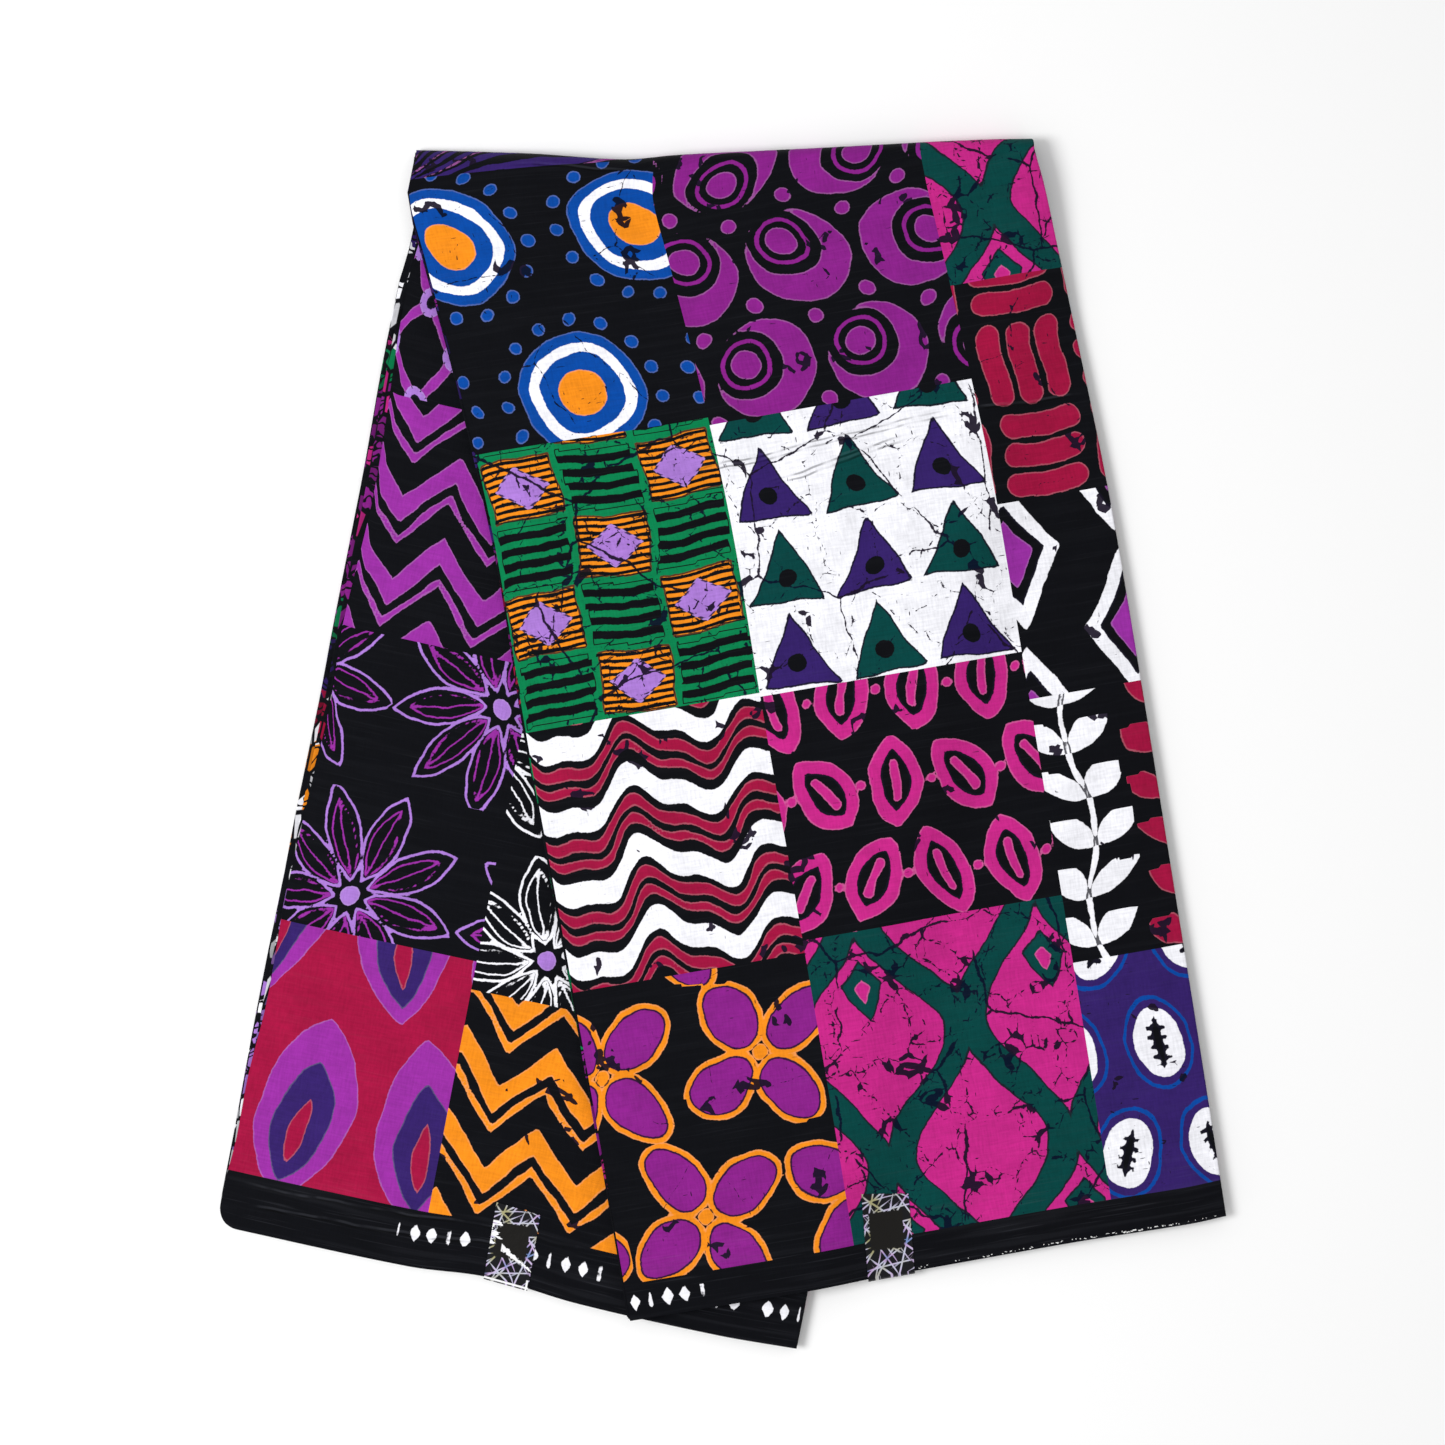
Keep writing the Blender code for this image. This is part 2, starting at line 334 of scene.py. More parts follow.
# Pressed creases and soft folds on the flat cloth, in mm. Height is up, and negative is a trough
Crease = namedtuple("Crease", "a_1 b_1 a_2 b_2 height width")
FRONT_CREASES = (
    Crease(100, 409, 236, 416, 0.42, 1.5),
    Crease(102, 406.6, 238, 413.4, -0.40, 1.6),
    Crease(236, 416, 305, 412, 0.30, 1.8),
    Crease(137, 396, 214, 408, 0.28, 1.4),
    Crease(139, 394, 216, 406, -0.26, 1.5),
    Crease(46, 580, 112, 570, 0.55, 1.3),
    Crease(10, 546, 118, 558, 0.35, 6.0),
    Crease(30, 470, 96, 498, 0.30, 7.0),
    Crease(182, 530, 290, 520, -0.30, 9.0),
    Crease(205, 300, 300, 322, 0.25, 8.0),
    Crease(10, 250, 120, 236, -0.28, 9.0),
    Crease(60, 90, 230, 74, 0.22, 10.0),
)
BACK_CREASES = (
    Crease(8, 22, 190, 26, -0.16, 1.2),
    Crease(10, 12, 170, 17, 0.14, 1.0),
    Crease(10, 210, 110, 190, 0.25, 8.0),
    Crease(5, 330, 90, 350, -0.25, 8.0),
    Crease(20, 110, 150, 128, -0.22, 9.0),
)

# The stage: the floor's size and how far below the packet it is, the large light's size and
# place, the camera's film width in mm, and how far towards the fold it stands
FLOOR_SIZE = 4.0
FLOOR_DROP = 0.25 * MM
KEY_SIZE = 0.9
KEY_PLACE = (-1.25, -0.1, 1.5)
SENSOR_WIDTH = 36.0
EYE_FORWARD = 10.5 * MM


def to_linear(code):
    """An sRGB hex colour as the linear values that the shaders take."""
    channels = [int(code[n:n + 2], 16) / 255 for n in (1, 3, 5)]
    return [c / 12.92 if c <= 0.04045 else ((c + 0.055) / 1.055) ** 2.4 for c in channels]


def ink(name, description, code):
    """A colour setting."""
    return bpy.props.FloatVectorProperty(
        name=name, description=description, default=to_linear(code), subtype="COLOR",
        size=3, min=0.0, max=1.0)


def length(name, description, default):
    """A size setting, in metres."""
    return bpy.props.FloatProperty(
        name=name, description=description, default=default, min=0.0, unit="LENGTH",
        precision=5)


class ClothSettings(bpy.types.PropertyGroup):
    """Sizes of the cotton cloth."""

    thickness: length("Thickness", "Thickness of one layer of cotton", 0.3 * MM)
    air: length("Air", "How far the top layer stands off the layers below", 0.75 * MM)
    step: length("Step", "Spacing of the mesh lines that carry the print", 1.5 * MM)
    hidden_step: length("Hidden step", "The same on the stretches that lie below", 2.8 * MM)
    bend: length("Bend", "How far a layer's side bend bulges", 0.5 * MM)


class InkColours(bpy.types.PropertyGroup):
    """Colours of the print."""

    black: ink("Black", "Ground of most patches and the selvages", "#08090e")
    white: ink("White", "Undyed cotton left by the wax", "#ececf2")
    purple: ink("Purple", "Red purple", "#831e82")
    violet: ink("Violet", "Bright violet", "#902b98")
    lilac: ink("Lilac", "Pale violet", "#a274c9")
    deep_violet: ink("Deep violet", "Dark blue violet", "#311d62")
    magenta: ink("Magenta", "Strong pink", "#bd2480")
    crimson: ink("Crimson", "Deep red", "#990f3b")
    orange: ink("Orange", "Bright orange", "#e88718")
    green: ink("Green", "Emerald green", "#037a49")
    teal: ink("Teal", "Dark blue green", "#013f3d")
    blue: ink("Blue", "Royal blue", "#034499")
    vein: ink("Vein", "Dye that ran into the wax's cracks", "#180d24")
    dark_rim: ink("Dark rim", "Where an ink overlaps a light ground", "#12101f")
    pale_rim: ink("Pale rim", "Where an ink stops short of a dark ground", "#e1dadd")
    # Painted sheen: the pale grey that thick threads and faint bands are lightened towards
    slub_sheen: ink("Slub", "Thick threads that stand up and catch the light", "#aaadbc")
    thread: ink("Thread", "Loose ends of the selvage's threads", "#efefef")
    thread_shade: ink("Thread shade", "Between their fibres", "#c4c4c4")


class LabelSettings(bpy.types.PropertyGroup):
    """Sizes and colours of the foil labels."""

    film: length("Film", "Thickness of the foil and its paper", 0.16 * MM)
    seat: length("Seat", "Glue under the label", 0.25 * MM)
    reach: length("Reach", "How far the label goes out past the hem", 1.7 * MM)
    lap: length("Lap", "How far the label hangs down over the hem", 2.2 * MM)
    foil: ink("Foil", "Dark ground of the foil", "#0a0b10")
    panel: ink("Panel", "Plain dark panel", "#0f0d0a")
    paper: ink("Paper", "Torn paper backing", "#f0f0f2")


class StageSettings(bpy.types.PropertyGroup):
    """Floor, light and camera."""

    floor: ink("Floor", "Pale floor", "#f6f6f6")
    sky: bpy.props.FloatProperty(
        name="Sky", description="Strength of the light from all round", default=0.66, min=0.0)
    key: bpy.props.FloatProperty(
        name="Key", description="Power of the large light at the left", default=27.0,
        min=0.0, unit="POWER")
    frame_width: length("Frame width", "Width of floor that the picture takes in", 0.7254)
    lens: bpy.props.FloatProperty(
        name="Lens", description="Focal length", default=85.0, min=1.0, unit="CAMERA")


def ease(share):
    """0 to 1 with a level start and end."""
    share = np.clip(share, 0, 1)
    return share * share * (3 - 2 * share)


def read_table(rows, column, places):
    """Values of a column at many places, on a smooth curve through the table's rows."""
    knots = np.array([row[0] for row in rows])
    values = np.array([getattr(row, column) for row in rows])
    before = np.maximum(np.arange(len(rows)) - 1, 0)
    after = np.minimum(np.arange(len(rows)) + 1, len(rows) - 1)
    slopes = (values[after] - values[before]) / (knots[after] - knots[before])
    n = np.clip(np.searchsorted(knots, places) - 1, 0, len(rows) - 2)
    step = knots[n + 1] - knots[n]
    t = (places - knots[n]) / step
    return (
        values[n] * (1 + 2 * t) * (1 - t) ** 2
        + values[n + 1] * (3 - 2 * t) * t ** 2
        + slopes[n] * step * t * (1 - t) ** 2
        - slopes[n + 1] * step * t ** 2 * (1 - t)
    )


def round_corner(side, end, radius):
    """Pull points near a square corner onto a round one, from their distances to both edges."""
    x = np.clip(1 - side / radius, 0, 1)
    y = np.clip(1 - end / radius, 0, 1)
    near = (x > 0) & (y > 0)
    round_side = radius * (1 - x * np.sqrt(1 - y * y / 2))
    round_end = radius * (1 - y * np.sqrt(1 - x * x / 2))
    return np.where(near, round_side, side), np.where(near, round_end, end)


def draw_in(distance, inset):
    """Bring points near an edge in by the inset, which fades out over the border's width."""
    return np.maximum(distance, inset + distance * (1 - inset / BORDER))


def leaf_plan(leaf, down, across, inset):
    """Plan positions on a leaf: down from 0 at the fold to 1 at the hem, across from the left."""
    run = abs(leaf.hem_left - FOLD_LEFT)
    width = abs(leaf.hem_right - leaf.hem_left)
    side = draw_in(across * width, inset.left * MM)
    side = width - draw_in(width - side, inset.right * MM)
    end = draw_in((1 - down) * run, inset.hem * MM)
    if leaf is BACK:
        side, end = round_corner(side, end, BORDER)
    across, down = side / width, 1 - end / run

    left = FOLD_LEFT + (leaf.hem_left - FOLD_LEFT) * down
    right = FOLD_RIGHT + (leaf.hem_right - FOLD_RIGHT) * down
    outwards = (right - left) / abs(right - left)
    left = left - outwards * read_table(leaf.edges, "left_out", down) * MM
    right = right + outwards * read_table(leaf.edges, "right_out", down) * MM
    plan = left + (right - left) * across
    rise = read_table(FOLD_LINE, "out", across) * MM - FOLD_RADIUS
    hem = read_table(leaf.hem, "out", across) * MM
    return plan + 1j * (rise * (1 - down) ** FOLD_FADE - hem * down ** HEM_FADE)


def leaf_length(leaf, across):
    """Length of cloth on a leaf, from its hem to the start of the fold."""
    left = abs(leaf.hem_left - FOLD_LEFT)
    right = abs(leaf.hem_right - FOLD_RIGHT)
    return left + (right - left) * across - FOLD_DRAW


def past_back_leaf(plan):
    """Distance past the line of the back leaf's right edge, where the front leaf sinks."""
    edge = (BACK_HEM_RIGHT - FOLD_RIGHT) / abs(BACK_HEM_RIGHT - FOLD_RIGHT)
    return (np.conj(edge) * (plan - FOLD_RIGHT)).imag


def pressed(across, from_edge):
    """Share of the height left near the fold, whose left end is pressed flat."""
    depth = SHOULDER_DEPTH * np.clip(1 - across / SHOULDER_SPAN, 0, 1) ** SHOULDER_CURVE
    over = (depth - from_edge) / SHOULDER_DEPTH
    return 1 - SHOULDER_DROP * (over + np.sqrt(over * over + SHOULDER_SOFTNESS)) / 2


def strip_points(run, across, depth, on_back, on_front):
    """Points of the doubled strip. run is the distance from the middle of the fold, positive
    on the front leaf. depth is the distance out from the inside of the fold."""
    share = np.clip(run / FOLD_ARC + 0.5, 0, 1)
    reach = np.abs(run) - FOLD_ARC / 2
    front_down = np.clip(reach / leaf_length(FRONT, across), 0, 1) * (run > 0)
    back_down = np.clip(reach / leaf_length(BACK, across), 0, 1) * (run < 0)
    front = leaf_plan(FRONT, front_down, across, on_front)
    back = leaf_plan(BACK, back_down, across, on_back)
    plan = back + (front - back) * share
    radius = LEAF_GAP / 2 + depth
    height = LEAF_THICKNESS + LEAF_GAP / 2 - radius * np.cos(np.pi * share)
    drop = (LEAF_THICKNESS + LEAF_GAP) * ease(past_back_leaf(plan) / SINK_WIDTH)
    height = height - drop * (share == 1)
    from_edge = np.maximum(reach, 0) + FOLD_RADIUS * (1 - np.sin(np.pi * share))
    height = height * pressed(across, from_edge)
    plan = plan + 1j * radius * np.sin(np.pi * share)
    return np.stack([plan.real, plan.imag, height], axis=-1)


def sheet_points(run, a, depth, on_back, on_front, inwards):
    """Points of a sheet whose right side goes on past the strip's width, round a lip.
    inwards is 1 or -1, the way the lip turns."""
    angle = np.clip(a - STRIP, 0, None) / LIP_RADIUS
    across = np.clip(a / STRIP, 0, 1)
    depth = depth + inwards * LIP_RADIUS * MM * (1 - np.cos(angle))
    points = strip_points(run, across, depth, on_back, on_front)
    beside = strip_points(run, np.clip(across, 0, BESIDE_EDGE), depth, on_back, on_front)
    edge = strip_points(run, np.ones_like(across), depth, on_back, on_front)
    outwards = edge - beside
    outwards[..., 2] = 0
    outwards /= np.linalg.norm(outwards, axis=-1, keepdims=True)
    return points + outwards * (LIP_RADIUS * MM * np.sin(angle))[..., None]


def crease_heights(creases, a, b):
    """Heights of pressed creases and soft folds on the flat cloth, in mm."""
    height = np.zeros(np.broadcast(a, b).shape)
    for crease in creases:
        start = crease.a_1 + 1j * crease.b_1
        along = crease.a_2 + 1j * crease.b_2 - start
        size = abs(along)
        place = (a + 1j * b - start) * np.conj(along) / size
        fade = CREASE_TAPER * size
        taper = ease(place.real / fade) * ease((size - place.real) / fade)
        height += crease.height * taper * np.exp(-(place.imag / crease.width) ** 2)
    return height


# Inks of the slivers at the side bends, from each place up the cloth in mm
EdgeZone = namedtuple("EdgeZone", "up common rare")
EDGE_ZONES = (
    EdgeZone(0, "black", "black"),
    EdgeZone(38, "white", "lilac"),
    EdgeZone(66, "lilac", "white"),
    EdgeZone(200, "white", "orange"),
    EdgeZone(268, "crimson", "white"),
    EdgeZone(294, "deep_violet", "black"),
    EdgeZone(318, "green", "purple"),
    EdgeZone(340, "purple", "magenta"),
    EdgeZone(448, "green", "magenta"),
    EdgeZone(472, "white", "black"),
    EdgeZone(524, "deep_violet", "purple"),
    EdgeZone(664, "black", "deep_violet"),
    EdgeZone(790, "crimson", "purple"),
    EdgeZone(868, "black", "green"),
    EdgeZone(1036, "magenta", "purple"),
    EdgeZone(1112, "black", "black"),
)

# How the air under a top layer comes and goes: waves along the flat cloth, in mm and radians,
# about a share of it, which fades out beside the edges, in mm
Wave = namedtuple("Wave", "along_a along_b phase share")
WAVES = (
    Wave(150.0, 410.0, 0.4, 0.16),
    Wave(-96.0, 230.0, 2.1, 0.12),
    Wave(64.0, 125.0, 4.0, 0.07),
    Wave(-41.0, 88.0, 1.2, 0.04),
    Wave(27.0, -52.0, 3.3, 0.02),
)
AIR_SHARE = 0.6
AIR_EDGE = 20.0

# The wax's crackle. A family of cracks has the size of the cells that it runs round and half its
# thickness, in mm, how far up a noise it starts, how far splashes spread from it, as a share, and
# that noise's features per mm. The fine web in the splashes has a cell size, in mm
Crack = namedtuple("Crack", "cell half start fork lengths")
CRACKS = (
    Crack(60.0, 0.66, 0.31, 1.0, 0.034),
    Crack(27.0, 0.44, 0.45, 0.5, 0.2),
)
WEB_CELL = 6.8

# The ladder of dashes at the side bends, from one to the next, in mm
RUNG_PITCH = 5.4

# The edges of the print's shapes, in mm: how far they wander, slowly and quickly, how soft they
# are, the depths at which the rim inside them starts to fade and ends, and how much deeper both
# are where a shape overlaps a light colour
SLOW_WANDER = 0.9
QUICK_WANDER = 0.24
EDGE_SOFTNESS = 0.16
RIM_DEPTHS = (0.35, 0.8)
OVERLAP_DEPTH = 0.35

# The lightness over which a colour below turns a rim dark, that over which a shape's own colour
# takes a pale rim, and the strengths of both rims and of the veins
LIGHT_GROUND = (0.11, 0.14)
PALE_RIMMED = (0.008, 0.03)
PALE_RIM_SHARE = 0.1
DARK_RIM_SHARE = 0.9
VEIN_SHARE = 0.985

# The cotton's finish: the lightness from the lowest to the highest of its threads and of its
# mottling, the lightness of the painted shade in a pressed line and the brightness of the painted
# highlight beside it, and the depths of wrinkles and threads
THREAD_LIGHTS = (0.88, 1.12)
MOTTLE_LIGHTS = (0.93, 1.06)
PAINTED_CREASE_SHADE = 0.45
PAINTED_CREASE_HIGHLIGHT = 0.035
WRINKLE_DEPTH = 1.6 * MM
THREAD_DEPTH = 0.12 * MM

# The foil's families of parallel scratches: sizes in mm and degrees
FoilLine = namedtuple("FoilLine", "angle gap half shift")
FOIL_LINES = (
    FoilLine(56, 5.6, 0.26, 0.0),
    FoilLine(36, 8.2, 0.34, 3.1),
    FoilLine(-33, 5.9, 0.26, 6.4),
    FoilLine(-52, 8.6, 0.36, 9.7),
    FoilLine(81, 8.4, 0.26, 1.7),
    FoilLine(17, 10.2, 0.30, 4.9),
)

# Painted reflections of hologram colours on those scratches, by their place in a slow noise, and
# the label's size in mm
FOIL_GLINT_COLOURS = ((0.30, "#a9a57a"), (0.45, "#c9cbe0"), (0.58, "#c9a8d8"), (0.72, "#7c94c8"))
LABEL_MM = (24.0, 40.0, 0.0)

# The label's plain panel, in mm: its middle and half its sizes
Panel = namedtuple("Panel", "x y half_wide half_tall")
PANEL = Panel(11.4, 22.0, 8.7, 9.4)


def air_heights(a, b, hem_fade):
    """Share of the air under a top layer, none at its edges."""
    waves = sum(
        wave.share * np.sin(2 * np.pi * (a / wave.along_a + b / wave.along_b) + wave.phase)
        for wave in WAVES)
    side = ease(a / AIR_EDGE) * ease((STRIP - a) / AIR_EDGE)
    return side * ease(b / hem_fade) * (AIR_SHARE + waves)


# Helpers for the motifs. A motif gives one field for each ink: how many mm inside its shapes a
# place is. BLANK is far outside
BLANK = -9.0


def disc(x, y, radius):
    """A round spot."""
    return radius - np.hypot(x, y)


def ring(x, y, radius, half):
    """A round line."""
    return half - np.abs(np.hypot(x, y) - radius)


def oval(x, y, wide, tall):
    """An oval, from its half sizes."""
    k = np.hypot(x / wide, y / tall)
    slope = np.hypot(x / wide ** 2, y / tall ** 2) + 1e-6
    return k * (1 - k) / slope + (k < 0.1) * min(wide, tall)


def almond(x, y, wide, tall):
    """A leaf with two pointed ends, from its half sizes."""
    radius = (wide * wide + tall * tall) / (2 * wide)
    return radius - np.hypot(np.abs(x) + radius - wide, y)


def bar(x, y, reach, half):
    """A round-ended line along x, from its half sizes."""
    return half - np.hypot(np.maximum(np.abs(x) - reach, 0), y)


def block(x, y, wide, tall):
    """A rectangle, from its half sizes."""
    return np.minimum(wide - np.abs(x), tall - np.abs(y))


def turned(x, y, angle):
    """Coordinates along axes turned by the angle."""
    return x * np.cos(angle) + y * np.sin(angle), y * np.cos(angle) - x * np.sin(angle)


def folded(value, pitch):
    """Signed distance to the middle of the nearest repeat."""
    return value - pitch * np.floor(value / pitch) - pitch / 2


def lines_across(value, pitch):
    """Signed distance to the nearest of many lines, with no jump between them."""
    return pitch / np.pi * np.arcsin(np.sin(np.pi * value / pitch))


def cells(x, y, wide, tall, brick=0.0):
    """Coordinates from the middle of each repeat, and its number across and up."""
    j = np.floor(y / tall)
    shifted = x - (j % 2) * brick * wide
    i = np.floor(shifted / wide)
    return shifted - (i + 0.5) * wide, y - (j + 0.5) * tall, i, j


def chance(i, j, seed):
    """A number from 0 to 1 that looks random and is the same each time."""
    value = np.sin(i * 12.9898 + j * 78.233 + seed * 37.719) * 43758.5453
    return value - np.floor(value)


def ogee_lattice(x, y):
    """Bold bands that sway apart and meet, with a pointed leaf in each opening."""
    wide, tall, swing = 92.0, 124.0, 0.2
    u, v = folded(x + 20, wide), folded(y + 40, tall)
    turn = 2 * np.pi * (y + 26) / tall
    offset = np.abs(u) - (0.26 + swing * np.cos(turn)) * wide
    slope = swing * 2 * np.pi * wide / tall * np.sin(turn)
    bands = 7.3 - np.abs(offset) / np.sqrt(1 + slope * slope)
    leaf = np.minimum(almond(u, v + 2, 13.5, 36.0), -bands - 4.5)
    return bands, leaf, leaf - 5.5


def petal_flowers(x, y):
    """Four-petalled flowers with an outline round each petal."""
    u, v, i, j = cells(x - 8, y + 12, 80.0, 76.0, 0.5)
    u, v = turned(u, v, (chance(i, j, 3) - 0.5) * 0.9)
    p, q = turned(np.abs(u) - 17.0, np.abs(v) - 17.0, math.pi / 4)
    petals = oval(p, q, 20.5, 14.6)
    return petals, petals - 2.6, disc(u, v, 4.2)


def waves(x, y):
    """Rolling bands with thin lines between them."""
    rolled = y + 9.0 * np.sin(2 * np.pi * x / 66) + 3.0 * np.sin(2 * np.pi * x / 29 + 1)
    return (
        (6.0 - np.abs(folded(rolled, 36))) * 0.8,
        (3.1 - np.abs(folded(rolled + 13, 36))) * 0.8,
        (2.4 - np.abs(folded(rolled + 22, 36))) * 0.8,
    )


def strip_blocks(x, y):
    """Woven-strip blocks: bars across, and lozenges on blocks between them."""
    u, v, i, j = cells(x, y, 39.4, 34.0)
    even = (i + j) % 2 == 0
    inside = block(u, v, 18.2, 15.6)
    bars = np.where(even, lines_across(v + 3.5, 7.0), 2.5 * lines_across(y, 3.4))
    lozenge = (1 - np.abs(u) / 14.5 - np.abs(v) / 11.5) * 9.0
    return (
        np.where(even, -3.0, inside),
        np.where(inside > 0, bars, BLANK),
        np.where(even, -3.0, lozenge),
    )


def cowries(x, y):
    """Cowrie shells with a toothed slit."""
    u, v, i, j = cells(x + 9, y + 6, 44.0, 52.0, 0.5)
    u, v = turned(u, v, (chance(i, j, 5) - 0.5) * 1.3)
    shell = oval(u, v, 12.5, 17.5)
    slit = almond(u, v, 2.4, 13.0)
    teeth = np.minimum(bar(u, folded(v, 4.8), 4.0, 0.95), 11.0 - np.abs(v))
    return shell, np.maximum(slit, teeth), np.hypot(u, v * 0.74) - 16.5


def pearl_discs(x, y):
    """Large discs with rings and a string of pearls round each."""
    u, v, i, j = cells(x - 14, y + 20, 92.0, 84.0, 0.5)
    r = np.hypot(u, v)
    angle = folded(np.arctan2(v, u) + i, 2 * np.pi / 15)
    pearls = 3.4 - np.hypot(r - 38.0, angle * 38.0)
    return np.maximum(disc(u, v, 31.0), pearls), ring(u, v, 23.0, 2.6), disc(u, v, 12.0)


def mud_marks(x, y):
    """Crosses, bars, spots and zigzags in rows, as on mud cloth."""
    u, v, i, j = cells(x, y, 33.0, 32.0)
    kind = np.floor(chance(i, j, 8) * 4).astype(int) % 4
    p, q = turned(u, v, math.pi / 4)
    cross = np.maximum(bar(p, q, 9, 2.0), bar(q, p, 9, 2.0))
    bars = bar(u, folded(v, 7.8), 9.0, 1.8)
    spots = disc(folded(u, 10.4), folded(v, 10.4), 2.9)
    zigzag = (2.1 - np.abs(folded(v + np.abs(folded(u, 13)) * 1.1, 12))) * 0.7
    marks = np.choose(kind, (cross, bars, spots, zigzag))
    return np.minimum(marks, block(u, v, 13.0, 12.4)), 1.0 - np.abs(folded(y + 16, 32)), BLANK


def fanned_stripes(x, y):
    """Stripes that run together beyond the lower left corner."""
    r, around = np.hypot(x + 16.0, y + 8.0), np.arctan2(y + 8.0, x + 16.0)
    uneven = around + 0.015 * np.sin(x / 9)
    wide = (0.038 - np.abs(folded(uneven, 0.14))) * r
    return wide, (0.012 - np.abs(folded(uneven + 0.05, 0.28))) * r, BLANK


def pods(x, y):
    """Scattered pods, each with a kernel, and spots between them."""
    u, v, i, j = cells(x + 12, y, 35.0, 46.0, 0.5)
    spots = disc(np.abs(u) - 17.5, v, 2.5)
    u, v = turned(u, v, (chance(i, j, 2) - 0.5) * 1.5)
    return (
        np.maximum(almond(u, v, 13.4, 23.0), spots),
        almond(u, v, 7.4, 15.5),
        bar(v, u, 8.5, 2.2),
    )


def triangles(x, y):
    """Rows of triangles, with a spot in each."""
    wide, tall = 43.5, 42.0
    u, v, i, j = cells(x, y, wide, tall)
    side = np.hypot(wide / 2, tall)
    slant = ((tall / 2 - v) * wide / 2 / tall - np.abs(u)) * tall / side
    wedge = np.minimum(slant, v + tall / 2) - 1.6
    even = (i + j) % 2 == 0
    spot = disc(u, v + 8.0, 4.6)
    return np.where(even, wedge, BLANK), np.where(even, BLANK, wedge), spot


def lozenges(x, y):
    """Nested lozenges."""
    wide, tall = 54.0, 84.0
    j = np.floor((x - 30) / wide)
    u, v = folded(x - 30, wide), folded(y + 12 + (j % 2) * 0.5 * tall, tall)
    inside = (1 - 2 * np.abs(u) / wide - 2 * np.abs(v) / tall) * wide * tall / 2
    inside = inside / np.hypot(wide, tall)
    return inside - 2.0, inside - 8.4, inside - 13.2


def leaf_sprays(x, y):
    """Stems with leaves in pairs."""
    pitch = 47.0
    i = np.floor((x + 6) / pitch)
    u = folded(x + 6, pitch) + 3.6 * np.sin(2 * np.pi * (y / 96 + i * 0.37))
    p, q = turned(np.abs(u) - 11.5, folded(y + i * 9, 24.0) - 5.0, math.radians(-54))
    leaves = almond(p, q, 6.6, 15.0)
    odd = i % 2 == 1
    return np.where(odd, BLANK, leaves), np.where(odd, leaves, BLANK), 1.4 - np.abs(u)


def crescents(x, y):
    """Crescents that hold a spot, with seeds between them."""
    u, v, i, j = cells(x - 6, y + 4, 56.0, 54.0, 0.5)
    seeds = disc(np.abs(u) - 28.0, np.abs(v) - 21.5, 4.0)
    u, v = turned(u, v, chance(i, j, 4) * 2 * np.pi)
    moon = np.minimum(disc(u, v, 25.0), -disc(u - 8.5, v, 17.2))
    return np.maximum(moon, seeds), disc(u - 9.5, v, 7.4), np.hypot(u - 9.5, v) - 11.8


def nets(x, y):
    """A slanting net with a knot at each crossing."""
    pitch = 40.0
    p = folded(x + 0.8 * y + 4.0 * np.sin(y / 14), pitch)
    q = folded(x - 0.8 * y + 4.0 * np.sin(y / 17), pitch)
    lines = np.maximum(2.7 - np.abs(p) * 0.78, 2.7 - np.abs(q) * 0.78)
    return lines, 6.4 - np.hypot(p, q) * 0.72, 3.0 - np.hypot(p, q) * 0.72


def line_daisies(x, y):
    """Large daisies drawn in line, with a thinner line inside each petal."""
    u, v, i, j = cells(x + 20, y + 32, 112.0, 104.0, 0.5)
    reach = 28.0 + 3.0 * chance(i, j, 6)
    r, around = np.hypot(u, v), np.arctan2(v, u) + 2 * chance(i, j, 7)
    petal = folded(around, 2 * np.pi / 9)
    p, q = r * np.cos(petal) - reach * 1.1, r * np.sin(petal)
    outline = almond(q, p, reach * 0.31, reach * 0.82)
    inner = almond(q, p + 0.1 * reach, reach * 0.2, reach * 0.66)
    half = np.maximum(np.abs(q) + inner, 0.1)
    veins = np.where(inner > 0, 1.3 * q * (1 - np.abs(q) / half), inner)
    return outline, veins, disc(u, v, 4.8)


def zigzags(x, y):
    """Zigzag bands, thick and thin."""
    bent = y - 1.05 * np.abs(folded(x, 48))
    thick, thin = 6.8 - np.abs(folded(bent, 41)), 2.3 - np.abs(folded(bent + 15, 41))
    return thick * 0.7, thin * 0.7, BLANK


def broad_petals(x, y):
    """Broad pointed petals over each other."""
    u, v, i, j = cells(x - 3, y + 12, 62.0, 98.0, 0.5)
    lean = (chance(i, j, 1) - 0.5) * 0.5
    u, v = turned(u, v, lean)
    return almond(u, v, 24.5, 47.0), almond(u, v + 7, 14.5, 32.0), almond(u, v + 12, 4.6, 18.0)


def guinea_spots(x, y):
    """Spots of uneven size, close together."""
    u, v, i, j = cells(x, y, 27.0, 23.5, 0.5)
    spots = disc(u, v, 6.0 + 3.4 * chance(i, j, 9))
    pale = chance(i, j, 10) > 0.62
    return np.where(pale, BLANK, spots), np.where(pale, spots, BLANK), disc(u, v, 2.6)


def basket(x, y):
    """Bars in threes, along and across in turn."""
    u, v, i, j = cells(x - 4, y, 48.0, 46.0)
    even = (i + j) % 2 == 0
    along, beside = np.where(even, u, v), np.where(even, v, u)
    bars = bar(along, folded(beside - 7.4, 14.8), 14.8, 6.0)
    return np.where(np.abs(beside) < 22.0, bars, BLANK), BLANK, BLANK


def plain_marks(x, y, shown):
    """Plain lozenges and dashes in a row, with gaps, where they are shown."""
    mark = np.floor(x / 8.8)
    u = folded(x, 8.8)
    lozenge = (1 - np.abs(u) / 3.1 - np.abs(y) / 4.4) * 2.6
    marks = np.where(mark % 3 == 1, bar(y, u, 3.0, 0.9), lozenge)
    return np.where(shown & (mark % 8 < 7), marks, BLANK), BLANK, BLANK


def front_selvage(x, y):
    """A short row of marks at the left end."""
    return plain_marks(x, y - 8.8, x < 42.0)


def back_selvage(x, y):
    """A long row of marks from near the middle."""
    return plain_marks(x, y - 17.0, x > 87.0)


